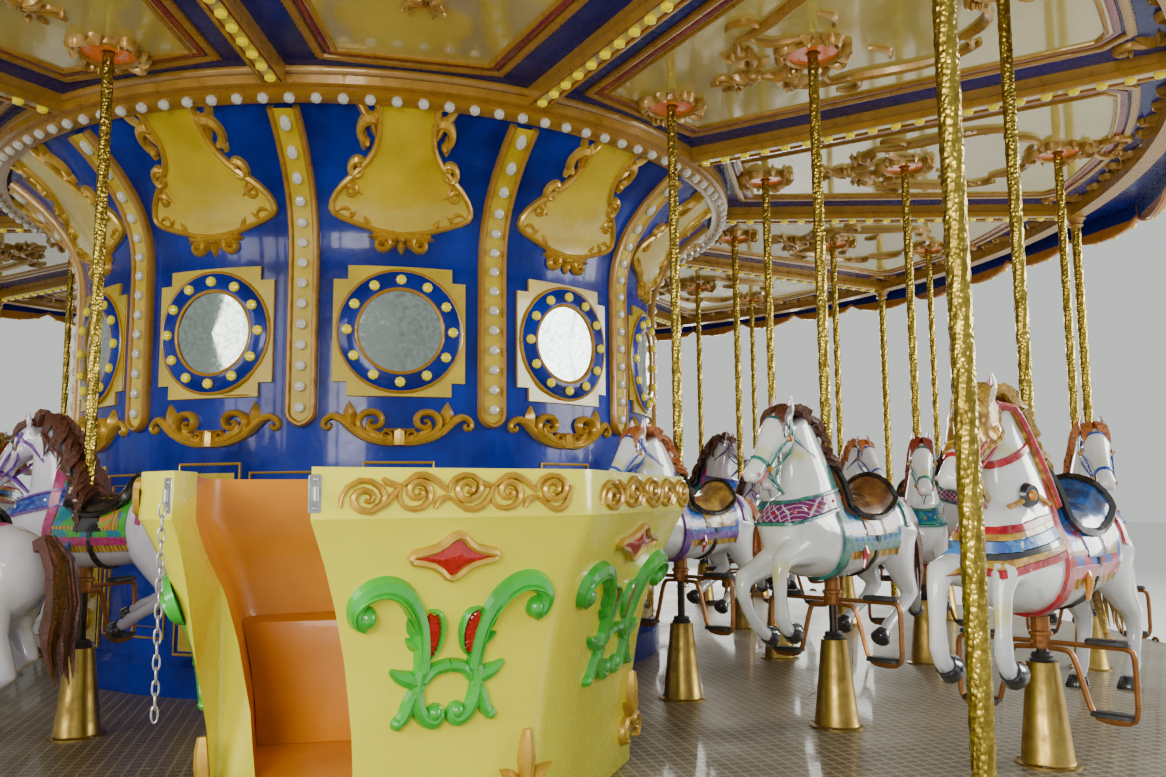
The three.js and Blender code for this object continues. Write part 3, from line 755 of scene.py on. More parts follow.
def pilaster():
    """A yellow strip of lamps between gold mouldings, with a rounded foot."""
    foot, half = 1.475, 0.052
    levels = list(np.linspace(foot + 0.05, RIM - 0.05, 22))
    foot_curve = [(half * sin(a), foot + 0.05 - half * cos(a)) for a in np.linspace(0, pi / 2, 5)[:-1]]
    edge = foot_curve + [(half, level) for level in levels]
    strip = mirrored(grid([[(u * share, v, 0.03) for u, v in edge] for share in (1.0, 0.5, 0.0)]))
    wall = mirrored(grid([[(u, v, w) for u, v in edge] for w in (0.0, 0.03)]))
    wide = [(u * 1.28, v - 0.014 * (1 - u / half)) for u, v in edge]
    path = np.array([(u, v, 0) for u, v in wide])
    half_path = np.vstack([[(-u, v, w) for u, v, w in path[:0:-1]], path])
    profile = metres([(-18, -4), (-17, 30), (-6, 46), (6, 46), (17, 30), (18, -4)])
    border = moulding(half_path, profile, seated=True).finished(1)
    lamps = [at(lamp(), 0, level, 0.03).finished(2) for level in np.linspace(foot + 0.075, RIM - 0.1, 14)]
    return join(strip, wall, border, lamps)


def cornice():
    """Gold mouldings and clear lamps round the rim."""
    profile = [(2.5, RIM - 0.055), (2.575, RIM - 0.055), (2.6, RIM - 0.035), (2.59, RIM - 0.005),
               (2.615, RIM + 0.005), (2.62, RIM + 0.045), (2.6, RIM + 0.06), (2.612, RIM + 0.075),
               (2.612, RIM + 0.098), (2.5, RIM + 0.098)]
    ring = lathe([(r, DECK + z) for r, z in profile + profile[:1]], 144)
    hang = Matrix.Rotation(radians(150), 4, "X")
    count = 10
    parts = []
    for i in range(count):
        angle = (i + 0.5 - count / 2) * BAY / count
        globe = at(lamp().moved(hang), 0, -2.575, DECK + RIM - 0.052)
        parts.append(globe.moved(turn(angle)).finished(1))
    return join(ring, around(join(parts)))


def lower_wall_trim():
    """Gold lines on the lower wall and a yellow panel with a wreath and carved sprays."""
    lines = [frame_line(divided(oblong(*corners), 0.2), width, 0.014) for *corners, width in (
        (-0.19, 0.22, 0.19, 1.25, 0.02), (0.25, 0.3, 0.79, 1.2, 0.016), (0.3, 0.36, 0.74, 1.14, 0.01))]
    panel = grid([[(u, v, 0.008) for v in (0.24, 0.7, 1.2)] for u in (-0.16, -0.05, 0.05, 0.16)]).finished(1)
    wreath = frame_line([(0.095 * cos(a), 0.74 + 0.15 * sin(a)) for a in round_steps(24)], 0.034, 0.026)
    sprays = mirrored(join(
        volute((0.02, 0.93), 60, 0.3, -6, -36, 0.034, 0.03), leaf((0.01, 0.92), 80, 0.1, 0.04, 0.03),
        volute((0.02, 0.55), 300, 0.3, 6, 36, 0.034, 0.03), leaf((0.03, 0.56), 280, 0.1, 0.04, 0.03),
        volute((0.02, 0.3), 20, 0.26, 6, 40, 0.036, 0.032), leaf((0.02, 0.3), 60, 0.09, 0.04, 0.032),
        leaf((0.0, 0.7), 70, 0.12, 0.05, 0.03),
    ))
    return join(lines, panel, wreath, sprays)


def build_drum():
    piece("drum_wall", drum_wall(), [BLUE], ("drum_base", "drum_neck", "drum_cove"), crease=30)
    piece("drum_lower_trim", around(lower_wall_trim().moved(on_drum)), [GOLD, YELLOW])
    panels = at(mirror_panel(), 0, MIRROR_LEVEL).moved(on_drum)
    piece("drum_mirrors", around(panels), [YELLOW, GOLD_LINE, BLUE, MIRROR, YELLOW_LAMP])
    piece("drum_swags", around(swag().moved(on_drum)), [GOLD])
    piece("drum_cartouches", around(cartouche().moved(on_drum)), [YELLOW, GOLD])
    piece("drum_pilasters", around(pilaster().moved(on_drum), offset=0.5), [YELLOW, GOLD_LINE, CLEAR_LAMP],
          ("pilasters",))
    piece("drum_cornice", cornice(), [GOLD_LINE, CLEAR_LAMP])


# Deck

def turned(radius, angle):
    """The place at a distance from the axis, turned from the front bay."""
    return radius * sin(angle), -radius * cos(angle)


def deck_plates():
    """Tread plates in two rings with narrow seams, on radial beams."""
    seam = 0.0015
    side = pi / BAYS
    parts = []
    for i in range(2 * BAYS):
        left, right = (i - 0.5) * side, (i + 0.5) * side
        for near, far in ((DECK_INNER, DECK_SEAM), (DECK_SEAM, DECK_OUTER)):
            near, far = (near + seam) / cos(side / 2), (far - seam) / cos(side / 2)
            corners = [turned(near, left + seam / near), turned(far, left + seam / far),
                       turned(far, right - seam / far), turned(near, right - seam / near)]
            parts.append(slab(corners, DECK - 0.02, DECK, 0.001))
    beam = oblong(-0.04, -DECK_OUTER + 0.04, 0.04, -1.5)
    parts.append(around(slab(beam, DECK - 0.16, DECK - 0.018), range(0, BAYS, 2), 0.5).finished(1))
    return join(parts)


def guide_cone():
    """A sheet-metal cone on a bolted flange, with a rubber collar round the rod."""
    profile = [(0.028, 0.0), (0.125, 0.0), (0.125, 0.007), (0.104, 0.01), (0.1, 0.016), (0.06, 0.38),
               (0.06, CONE_HEIGHT), (0.028, CONE_HEIGHT)]
    cone = lathe(profile + profile[:1], 22)
    collar = metres([(23, 388), (46, 388), (50, 398), (40, 406), (43, 414), (36, 424), (23, 424)])
    ring = lathe(collar + collar[:1], 14, look=1)
    bolt = lathe(metres([(0.1, 5), (9, 5), (9, 13), (0.1, 15)]), 6, look=2)
    bolts = [at(bolt, 0.113 * cos(a), 0.113 * sin(a)) for a in round_steps(4, 0.5)]
    return join(cone, ring, bolts)


def every_horse():
    """Row, bay and the place of the pole on the deck."""
    for row, (radius, _) in ROWS.items():
        for bay in HORSE_BAYS:
            yield row, bay, (*turned(radius, bay * BAY), DECK)


def upright(shape, radius, level):
    """Stands a flat form up at a distance from the axis, facing outwards."""
    return shape.moved(Matrix(((1, 0, 0, 0), (0, 0, -1, -radius), (0, 1, 0, level), (0, 0, 0, 1))))


def deck_skirt():
    """Blue skirt panels with framed fields round the deck's edge."""
    half = (DECK_OUTER + 0.02) * tan(pi / BAYS / 2) - 0.004
    parts = [slab(oblong(-half, 0.04, half, DECK), -0.019, 0.0, 0.003)]
    for inner, width, look in ((0.035, 0.022, 1), (0.075, 0.01, 2)):
        field = oblong(inner - half, 0.04 + inner, half - inner, DECK - inner)
        parts.append(frame_line(field, width, 0.01, look))
    parts.append(join(mirrored(volute((0.05, 0.2), 10, 0.42, 2, 26, 0.03, 0.016)),
                      dome((0, 0.2), 0.035, 0.02, 12)).finished(1))
    panel = upright(join(parts), DECK_OUTER + 0.0203, 0)
    return join([panel.moved(turn(i * pi / BAYS)) for i in range(2 * BAYS)])


def build_deck():
    piece("deck_plates", deck_plates(), [TREAD, BASE_STEEL],
          [f"deck_sector_{i + 1}" for i in range(6)])
    cones = [at(guide_cone(), *place) for _, _, place in every_horse()]
    piece("guide_cones", join(cones), [CONE_BRASS, BLACK_RUBBER, STEEL])
    piece("deck_skirt_panels", deck_skirt(), [BLUE_BAND, GOLD_LINE, YELLOW], ("deck_skirt",))
    for node in ("base_pedestal", "slewing_ring"):
        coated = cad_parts[node]
        coated.data.materials.clear()
        coated.data.materials.append(BASE_STEEL)


# Ceiling and sweeps

PANEL_NEAR = 2.69
PANEL_FAR = 5.12
PANEL_CLEAR = 0.262
SCALLOPS = 4
SCALLOP_DEPTH = 0.09


def on_ceiling(points):
    """Lays (across, out from the axis, down) under the ceiling of the front bay."""
    u, v, w = points.T
    return np.stack([u, -v, DECK + CEILING - w], axis=1)


def panel_edge(inward):
    """The ceiling panel's outline moved inwards: straight sides along the sweeps and a curved outer edge."""
    clear = (PANEL_CLEAR + inward) / cos(BAY / 2)
    half = [(v * tan(BAY / 2) - clear, v) for v in np.linspace(PANEL_NEAR + inward, 4.82, 16)]
    reach = atan2(half[-1][0], half[-1][1])
    arc = [(r * sin(a), r * cos(a))
           for a, r in zip(np.linspace(reach, 0, 12)[1:],
                           np.linspace(PANEL_FAR - 0.06, PANEL_FAR, 11) - inward)]
    right = half + arc
    left = [(-u, v) for u, v in right[::-1][1:]]
    cross = [(u, PANEL_NEAR + inward) for u in np.linspace(-half[0][0], half[0][0], 8)[1:-1]]
    return right + left + cross


def ceiling_sheet():
    """A cream panel on the blue ground of its bay."""
    (u0, v0), (u1, v1) = [(tan(BAY / 2) * v, v) for v in (2.49, 5.565)]
    ground = slab([(-u0, v0), (u0, v0), (u1, v1), (-u1, v1)], -0.02, 0.0, look=1)
    return join(ground, slab(panel_edge(0.06), -0.001, 0.006))


def panel_frame():
    """Stepped gold moulding, red band and beaded rope round a ceiling panel."""
    parts = [frame_line(panel_edge(inward), width, height, look) for inward, width, height, look in (
        (0.0, 0.05, 0.02, 1), (0.052, 0.046, 0.01, 2), (0.092, 0.026, 0.022, 1))]
    beads = spaced(np.array(panel_edge(-0.018)), 0.019)
    path = np.column_stack([beads, np.full(len(beads), 0.002)])
    parts.append(tube(path, np.where(np.arange(len(path)) % 2, 0.006, 0.013), 4, loop=True, look=1))
    return join(parts)


def pole_collar():
    """A ring of carved shells round a pole, open to a warm lamp above."""
    glow = lathe(metres([(40, 4), (128, 4), (128, 12), (40, 12), (40, 4)]), 20, look=1)
    rim = frame_line(circle(0.135, 24), 0.028, 0.034)
    shells = []
    for i in range(12):
        petal = leaf((0.128, 0.0), 14, 0.08, 0.06, 0.05, 9.0)
        if i % 3 == 0:
            petal = join(petal, volute((0.14, 0.01), 20, 0.13, 8.0, 40.0, 0.032, 0.056))
        elif i % 3 == 1:
            petal = join(petal, dome((0.178, -0.016), 0.02, 0.052, 6))
        shells.append(spun(petal, i * 30))
    return join(glow, rim, shells)


def ceiling_scrolls():
    """Shell and leaf cluster between two collars, with long scrolls running out along the panel."""
    arm = join(
        volute((0.03, 3.47), 25, 0.3, 8.0, -20.0, 0.06, 0.036),
        leaf((0.07, 3.49), 60, 0.14, 0.075, 0.04, 4.0), leaf((0.12, 3.5), 10, 0.13, 0.07, 0.036, -4.0),
        leaf((0.2, 3.53), 75, 0.13, 0.07, 0.038, -5.0), leaf((0.21, 3.5), 330, 0.1, 0.05, 0.034, 5.0),
        dome((0.24, 3.56), 0.045, 0.045),
        ridge(smooth([(0.2, 3.53), (0.3, 3.58), (0.38, 3.64)], 8), 0.05, 0.035),
        ridge(curl((0.37, 3.7), 205, 0.34, -9.0, -2.0, 12), 0.045, 0.032),
        volute((0.37, 3.62), 95, 0.85, -2.5, 3.2, 0.06, 0.04, boss=False),
        ridge(curl((0.4, 3.78), 60, 0.26, -16.0, -10.0, 10), 0.04, 0.034),
        volute((0.38, 4.38), 100, 0.42, 1.0, 9.0, 0.056, 0.038, boss=False),
        ridge(curl((0.39, 4.4), 40, 0.28, -10.0, -14.0, 10), 0.04, 0.034),
        ridge(curl((0.33, 4.05), 120, 0.2, 12.0, 8.0, 9), 0.034, 0.03),
    )
    shell = [leaf((0.0, 3.45), 270 + spread, 0.12 - abs(spread) * 0.0004, 0.04, 0.045)
             for spread in (-70, -46, -23, 0, 23, 46, 70)]
    inner = volute((0.05, 3.22), 75, 0.26, 6.0, 18.0, 0.04, 0.03)
    outer = join(volute((0.03, 4.98), 0, 0.36, 2.0, 22.0, 0.05, 0.036),
                 leaf((0.05, 4.99), 330, 0.12, 0.05, 0.034), leaf((0.0, 5.0), 290, 0.13, 0.05, 0.034))
    return join(mirrored(join(arm, inner, outer)), shell, dome((0, 3.46), 0.05, 0.052))


def spandrel():
    """Carved edging outside the panel's curved end, with an oval stone, and corner sprays by the posts."""
    parts = []
    for angle in np.linspace(-0.17, 0.17, 9):
        place = (5.17 * sin(angle), 5.17 * cos(angle))
        lean = 90 - degrees(angle)
        if abs(angle) < 0.03:
            continue
        way = -1 if angle > 0 else 1
        parts.append(volute(place, lean - 80 * way, 0.17, 8.0 * way, 40.0 * way, 0.04, 0.04))
        parts.append(leaf(place, lean + 25 * way, 0.1, 0.045, 0.036, 5.0 * way))
    oval = [(0.13 * cos(a), 5.3 + 0.062 * sin(a)) for a in round_steps(20)]
    parts.append(frame_line(oval, 0.034, 0.03))
    stone = dome((0, 0), 0.115, 0.035, 20).moved(Matrix.Diagonal((1, 0.46, 1, 1)))
    parts.append(at(stone, 0, 5.3, 0.004).finished(1))
    spray = join([volute((0.16 + 0.1 * i, 5.27 - 0.02 * i), 20 + 150 * (i % 2), 0.2, 6, 34, 0.036, 0.036)
                  for i in range(5)])
    corner = join([leaf((1.16, 5.02), heading, 0.15, 0.05, 0.034, 4.0) for heading in (100, 140, 180, 215)],
                  volute((1.14, 5.0), 200, 0.3, 4, 26, 0.042, 0.036))
    return join(join(parts), mirrored(join(spray, corner)))


def sweep():
    """A gold sweep with a recessed lamp strip underneath, edged in cream and red."""
    half = metres([(40, 88), (48, 100), (62, 98), (62, 60), (55, 55), (55, -2)])
    section = [(-u, w) for u, w in half[::-1]] + half
    near, far = CORNICE - 0.01, POST_CIRCLE - 0.06
    bar = grid([[(u, v, w) for u, w in section] for v in np.linspace(near, far, 8)], ring=True, capped=True)
    strip = slab(oblong(-0.04, near, 0.04, far), 0.08, 0.0895, look=1)
    lines = [slab(oblong(u - 0.004, near, u + 0.004, far), 0.088, 0.0935, look=2) for u in (-0.036, 0.036)]
    lamps = [at(lamp(), 0, v, 0.088).finished(3) for v in np.linspace(near + 0.09, far - 0.07, 20)]
    return join(bar, strip, lines, lamps)


def embossed_bar(radius, low, high, sides, row):
    """A tube pressed all over with small diamonds that climb in a slow twist."""
    count = int((high - low) / row)
    rows = []
    for i in range(count + 1):
        z = low + (high - low) * i / count
        radii = radius * np.where((np.arange(sides) + i) % 2, 1.0, 0.9)
        rows.append([(r * cos(a), r * sin(a), z) for r, a in zip(radii, round_steps(sides, 0.22 * i))])
    return grid(rows, ring=True, capped=True)


def outer_post():
    """An embossed post with turned foot and capital."""
    bar = embossed_bar(0.036, DECK + 0.06, DECK + RIM - 0.07, sides=12, row=0.033)
    foot = metres([(0.1, 1), (80, 1), (80, 12), (52, 18), (48, 40), (56, 50), (40, 64), (0.1, 64)])
    head = [(0.0001, RIM - 0.075), (0.038, RIM - 0.075), (0.055, RIM - 0.06), (0.044, RIM - 0.048),
            (0.06, RIM - 0.02), (0.072, RIM - 0.012), (0.072, RIM), (0.0001, RIM)]
    turnings = [lathe([(r, DECK + z) for r, z in profile], 20, look=1) for profile in (foot, head)]
    return at(join(bar, turnings), 0, -POST_CIRCLE)


def ring_beam():
    """The gold ring beam that the posts carry."""
    profile = metres([(-60, 0), (50, 0), (60, 12), (55, 30), (60, 45), (60, 98.5), (-60, 98.5), (-60, 45),
                      (-55, 30)])
    return lathe([(POST_CIRCLE + r, DECK + RIM + z) for r, z in profile + profile[:1]], 120)


def board_edge(half):
    """The scalloped lower edge of a rounding board, as (across, height)."""
    width = 2 * half / SCALLOPS
    points = [(width * (scallop + t) - half, BOARDS_FOOT + SCALLOP_DEPTH * (1 - sin(pi * t) ** 0.6))
              for scallop in range(SCALLOPS) for t in np.linspace(0, 1, 9)[:-1]]
    return points + [(half, BOARDS_FOOT + SCALLOP_DEPTH)]


def rounding_board():
    """One flat board: scalloped edge with lamps, framed and carved fields outside, a blue band inside."""
    half = (BOARDS + 0.03) * tan(BAY / 2) - 0.002
    edge = board_edge(half)
    rows = [[(u, v, w) for u, v in edge] for w in (0.0, 0.03)]
    top = [[(u, BOARDS_TOP, w) for u, _ in edge] for w in (0.03, 0.0)]
    board = grid([rows[0], rows[1], top[0], top[1]], loop=True)
    path = [(u, v + 0.018, 0) for u, v in edge]
    lip = moulding(path, metres([(-14, 28), (-10, 44), (10, 44), (14, 28)]))
    lamps = [at(lamp(0.027, 7), u, v + 0.014, 0.028).finished(1) for u, v in edge[1::2]]
    inner = moulding(path, oblong(-0.01, -0.012, 0.01, 0.004))
    band = slab(oblong(-half + 0.02, RIM, half - 0.02, CEILING - 0.002), -0.006, 0.002, look=2)
    fields = []
    for centre, wide in ((-0.98, 0.38), (0.0, 0.46), (0.98, 0.38)):
        outline = rounded(oblong(centre - wide, 3.22, centre + wide, 3.6), 0.1, 3)
        fields.append(slab(outline, 0.029, 0.034, look=3))
        fields.append(at(frame_line(outline, 0.03, 0.02), 0, 0, 0.03))
        carving = mirrored(join(volute((0.02, 3.41), 35, 0.34, 3, 30, 0.04, 0.03, boss=False),
                                volute((0.02, 3.41), 325, 0.34, -3, -30, 0.04, 0.03, boss=False),
                                leaf((0.03, 3.41), 0, 0.16, 0.06, 0.03)))
        fields.append(at(join(carving, dome((0, 3.41), 0.05, 0.04, 12)), centre, 0, 0.033))
    cap = slab(oblong(-half, BOARDS_TOP - 0.05, half, BOARDS_TOP), 0.029, 0.055, 0.006)
    return upright(join(board, lip, lamps, inner, band, fields, cap), BOARDS, DECK)


def canopy():
    """Twelve sagging gores with ribs between them and a bound edge."""
    levels = np.linspace(0, 1, 12)
    low, high = (BOARDS + 0.075, BOARDS_TOP + 0.02), (0.31, ROOF_TOP - 0.006)
    parts = []
    spread = tan(BAY / 2)
    rows = []
    for t in levels:
        r = low[0] + (high[0] - low[0]) * t
        z = low[1] + (high[1] - low[1]) * t
        sag = 0.055 * sin(pi * t)
        rows.append([(r * spread * s, -r, DECK + z - sag * (1 - s * s)) for s in np.linspace(-1, 1, 9)])
    outer = np.array(rows)
    under = outer.copy()
    under[:, :, 2] -= 0.012
    sheet = join(grid(outer), grid(under))
    border = grid(np.stack([outer[0], under[0]]))
    crown = grid(np.stack([outer[-1], under[-1]]))
    gore = join(sheet, border, crown)
    parts.append(around(gore, range(0, BAYS, 2)).finished(0))
    parts.append(around(gore, range(1, BAYS, 2)).finished(1))
    rib_path = [(low[0] * spread + (high[0] - low[0]) * spread * t, -(low[0] + (high[0] - low[0]) * t),
                 DECK + low[1] + (high[1] - low[1]) * t - 0.004) for t in levels]
    parts.append(around(tube(rib_path, 0.014, 8)).finished(2))
    hem = [(-low[0] * spread, -low[0], DECK + low[1] - 0.008),
           (low[0] * spread, -low[0], DECK + low[1] - 0.008)]
    parts.append(around(tube(hem, 0.012, 8)).finished(2))
    return join(parts)


def finial():
    """A turned gold spire in a ring of leaves on top of the canopy."""
    profile = metres([(0.1, 0), (335, 0), (340, 20), (300, 50), (200, 75), (140, 120), (115, 170),
                      (130, 210), (165, 270), (168, 330), (130, 380), (85, 425), (55, 450), (60, 470),
                      (40, 500), (34, 600), (26, 740), (14, 860), (0.1, 895)])
    ball = lathe([(r, DECK + ROOF_TOP + 0.001 + z) for r, z in profile], 32)
    petals = [leaf((0.0, 0.0), 90, 0.17, 0.07, 0.03)
              .moved(Matrix(((1, 0, 0, 0), (0, -0.6, -0.8, -0.17), (0, 0.8, -0.6, DECK + ROOF_TOP + 0.07),
                             (0, 0, 0, 1))))
              .moved(turn(i * BAY)) for i in range(BAYS)]
    return join(ball, petals)


def build_roof():
    piece("ceiling_panels", around(ceiling_sheet().moved(on_ceiling)), [CREAM, BLUE_BAND],
          ("ceiling",))
    piece("ceiling_frames", around(panel_frame().moved(on_ceiling)), [RED_PAINT, GOLD_LINE, RED_PAINT])
    collar = pole_collar()
    collars = [at(collar, 0, ROWS[row][0], 0.006).moved(on_ceiling).moved(turn(bay * BAY))
               for row, bay, _ in every_horse()]
    piece("pole_collars", join(collars), [DEEP_GOLD, WARM_GLOW])
    piece("ceiling_scrolls", around(at(ceiling_scrolls(), 0, 0, 0.006).moved(on_ceiling)), [DEEP_GOLD])
    piece("ceiling_spandrels", around(spandrel().moved(on_ceiling)), [DEEP_GOLD, BLUE_STONE])
    piece("sweep_bars", around(sweep().moved(on_ceiling), offset=0.5),
          [GOLD_LINE, CREAM, RED_PAINT, YELLOW_LAMP], ("sweeps",))
    piece("embossed_posts", around(outer_post(), offset=0.5), [BRASS, GOLD_LINE],
          ("outer_posts",), crease=14)
    piece("ring_beam", ring_beam(), [GOLD_LINE], ("outer_posts",))
    piece("rounding_board_panels", around(rounding_board()), [BOARD_GOLD, YELLOW_LAMP, BLUE_BAND, CREAM],
          ("rounding_boards",))
    piece("canopy_gores", canopy(), [CANOPY_BLUE, CANOPY_CREAM, GOLD_LINE],
          ("roof_canopy",))
    piece("finial", finial(), [GOLD], ("roof_finial",))


# Chariots

TUB_HEIGHT = 1.13
TUB_BAND = 0.99
TUB_INSET = 0.21
TUB_WALL = 0.125
TUB_FLOOR = 0.2
SEAT = 0.62
TUB_RIM = np.array([(-0.48, -4.91), (0.39, -4.66), (1.1, -3.56), (0.72, -3.08), (-0.95, -3.35),
                    (-0.9, -4.45)])
ENTRANCE = [(-1.15, -5.05), (-0.42, -5.05), (-0.4, -4.5), (-0.69, -4.18), (-0.78, -4.56)]
CHAIN_LENGTH = 0.58
LINK = 0.044
LEG_ROOM = [(-1.5, -5.2), (-0.5, -5.2), (0.7, -5.2), (0.43, -3.89), (-1.5, -3.75)]


def tub_inset(height):
    share = np.clip(array(height) / TUB_BAND, 0, 1)
    return TUB_INSET * (1 - share ** 2.6)


def tub_ring(height, extra=0.0, radius=0.05):
    outline = rounded(inset(TUB_RIM, float(tub_inset(height)) + extra), radius, 5)
    return [(x, y, DECK + height) for x, y in outline]


def on_tub(panel, stretch=1.0):
    """Lays (across, height above deck, proud) on one flared panel of the tub."""
    start, end = TUB_RIM[panel], TUB_RIM[(panel + 1) % len(TUB_RIM)]
    along = (end - start) / np.linalg.norm(end - start)
    inward = np.array([-along[1], along[0]])

    def lay(points):
        u, v, w = points.T
        slope = (tub_inset(v - 0.01) - tub_inset(v + 0.01)) / 0.02
        slope = np.where(v > TUB_BAND - 0.011, 0.0, slope)
        lean = np.sqrt(1 + slope ** 2)
        reach = tub_inset(v) - w / lean
        flat = (start + end) / 2 + np.outer(u * stretch, along) + np.outer(reach, inward)
        return np.column_stack([flat, DECK + v - w * slope / lean])
    return lay


def blank_object(shape):
    """A bare object of a form, for shaping with modifiers."""
    return added("blank", solid_mesh("blank", shape, (None, None)))


def shaped(made):
    """The form of an object after its modifiers."""
    mesh = made.evaluated_get(bpy.context.evaluated_depsgraph_get()).to_mesh()
    result = Shape([tuple(vertex.co) for vertex in mesh.vertices],
                   [tuple(face.vertices) for face in mesh.polygons])
    result.looks = [face.material_index for face in mesh.polygons]
    return result


def carved(solid, *cutters, ease=0.006):
    """One form with others cut away from it and its edges eased; cut faces keep the cutter's finish."""
    blank = blank_object(solid)
    tools = [blank_object(cutter) for cutter in cutters]
    for tool in tools:
        cut = blank.modifiers.new("cut", "BOOLEAN")
        cut.operation = "DIFFERENCE"
        cut.solver = "EXACT"
        cut.material_mode = "INDEX"
        cut.object = tool
    if ease:
        bevel = blank.modifiers.new("ease", "BEVEL")
        bevel.width = ease
        bevel.segments = 2
        bevel.angle_limit = radians(40)
    result = shaped(blank)
    for made in [blank, *tools]:
        bpy.data.objects.remove(made)
    return result


def tub_shell():
    """The flared yellow shell with its orange inside and the entrance cut through."""
    heights = [0.002, 0.12, 0.24, 0.36, 0.48, 0.58, 0.68, 0.77, 0.85, 0.92, TUB_BAND - 0.012]
    outer = [tub_ring(height) for height in heights]
    outer += [tub_ring(TUB_BAND + 0.004, -0.004), tub_ring(TUB_HEIGHT)]
    inside = [TUB_FLOOR, 0.4, 0.6, 0.75, 0.88, TUB_BAND]
    inner = [tub_ring(height, TUB_WALL, 0.1) for height in inside + [TUB_HEIGHT + 0.02]]
    door = []
    for height in inside + [TUB_HEIGHT + 0.03]:
        lean = 0.57 * float(tub_inset(height))
        jamb = rounded([(x + lean * (x > -0.5), y) for x, y in ENTRANCE], 0.04)
        door.append([(x, y, DECK + height) for x, y in jamb])
    return carved(grid(outer, ring=True, capped=True),
                  grid(inner, ring=True, capped=True).finished(1),
                  grid(door, ring=True, capped=True))


def tub_bench():
    """An L-shaped bench moulded against the inner and trailing walls."""
    rows = [tub_ring(height, TUB_WALL + 0.0015, 0.1) for height in (TUB_FLOOR + 0.001, 0.34, 0.48, SEAT)]
    return carved(grid(rows, ring=True, capped=True), slab(rounded(LEG_ROOM, 0.12, 6), DECK, DECK + 1.0),
                  ease=0.018)


def wave_scroll(length):
    """A running scroll of five spirals joined by a wave, drawn in hundredths of its length."""
    first = [(-49.5, -6.2), (-47.9, 1.0), (-40.6, 5.7), (-33.9, 2.6), (-32.3, -3.6), (-38.0, -8.5),
             (-43.8, -5.7), (-44.0, -1.0), (-40.1, 1.2), (-36.7, -1.0), (-37.7, -4.0), (-40.1, -3.1)]
    over = [(-37.5, -8.5), (-31.8, -4.7), (-26.0, 2.6), (-18.2, 8.1), (-11.5, 5.7), (-6.2, 0.5)]
    under = [(-5.7, -2.3), (2.6, -7.8), (9.4, -5.2), (13.5, 2.6)]
    falling = [(-25.8, 2.6), (-26.5, -3.1), (-22.9, -7.1), (-17.2, -6.8), (-13.3, -1.6), (-15.6, 4.0),
               (-20.3, 4.7), (-22.6, 1.0), (-20.6, -2.3), (-17.2, -1.6), (-16.9, 0.8), (-18.8, 0.8)]
    rising = [(-6.2, 0.5), (-4.2, 5.7), (1.6, 8.3), (7.1, 5.7), (7.5, 0.0), (2.6, -3.6), (-1.6, -1.6),
              (-2.1, 2.6), (1.0, 5.0), (4.4, 3.1), (4.0, 0.0), (1.9, 0.8)]
    pointed = [(-33.1, 6.5), (-30.0, 4.0), (-26.0, 3.4)]
    hooked = [(-12.0, -7.3), (-9.4, -3.1), (-5.2, -2.1)]
    last = [(33.3, -2.3), (41.7, -8.3), (46.9, -5.7), (49.8, 3.1)]
    shared = [(over[2:], 8), (falling, 19), (rising, 19), (pointed, 4), (hooked, 5)]
    runs = [(first, 19), (over[:3], 5), (under, 8), (last, 9)] + shared
    runs += [([(u + 39.1, v) for u, v in run], count) for run, count in shared]
    unit = length / 100
    return join([ridge(smooth(run, count) * (unit, unit * 0.86) + (0.0, 1.062), 3.5 * unit, 0.021, start=0.5,
                       end=0.6, peak=0.5) for run, count in runs])


def tub_gem():
    """A red lozenge stone in a gold frame."""
    quarter = metres([(130, 0), (123, 10), (92, 15), (60, 23), (35, 38), (17, 55), (0, 61)])
    half = quarter + [(-u, v) for u, v in quarter[-2::-1]]
    outline = half + [(-u, -v) for u, v in half[1:-1]]
    stone = grid([[(u * k, v * k, w) for u, v in outline]
                  for k, w in ((1.0, -0.002), (1.0, 0.008), (0.35, 0.024))],
                 ring=True, capped=True)
    return join(stone.finished(1), frame_line(outline, 0.024, 0.024))


def tub_acanthus():
    """Green scrollwork of two arched arms over a ring, with two red inlays."""
    arm = smooth(metres([(285, 705), (315, 722), (322, 765), (285, 798), (225, 805), (165, 775), (118, 710),
                         (98, 640), (88, 560)]), 28)
    lower = smooth(metres([(90, 585), (102, 530), (100, 480), (78, 432), (40, 412), (20, 430), (34, 452)]),
                   18)
    half = join(
        ridge(arm, 0.066, 0.034, start=0.8, end=0.85, peak=0.5), dome((0.287, 0.724), 0.034, 0.038, 12),
        ridge(arm[2:-2] + (0.008, -0.012), 0.016, 0.042, start=0.4, end=0.5),
        ridge(lower, 0.054, 0.03, start=0.9, end=0.7), dome((0.038, 0.438), 0.028, 0.034, 12),
        ridge(smooth([(0.0, 0.572), (0.05, 0.562), (0.082, 0.53)], 8), 0.042, 0.028, start=1.0, end=0.8),
        leaf((0.095, 0.655), 28, 0.088, 0.052, 0.028, 6.0),
        leaf((0.09, 0.625), 12, 0.075, 0.046, 0.026, 6.0),
        ridge(smooth([(0.085, 0.51), (0.12, 0.535), (0.16, 0.548), (0.195, 0.57)], 8), 0.054, 0.028,
              start=0.8, end=0.25),
        ridge(smooth([(0.095, 0.52), (0.12, 0.48), (0.14, 0.435), (0.165, 0.415)], 8), 0.05, 0.028,
              start=0.8, end=0.7),
        dome((0.16, 0.418), 0.022, 0.028, 10),
        ridge(smooth(metres([(88, 735), (48, 722), (32, 672), (46, 615), (82, 585)]), 12), 0.022, 0.024),
    )
    outline = metres([(88, 592), (94, 640), (92, 690), (84, 728), (56, 714), (42, 672), (54, 620)])
    inlay = slab(outline, -0.002, 0.014, 0.004)
    bars = [ridge(np.array([(0.045, v), (0.09, v)]), 0.007, 0.018, start=0.9, end=0.9)
            for v in np.linspace(0.61, 0.715, 9)]
    return join(mirrored(half).finished(2), mirrored(join(inlay, bars)).finished(1))


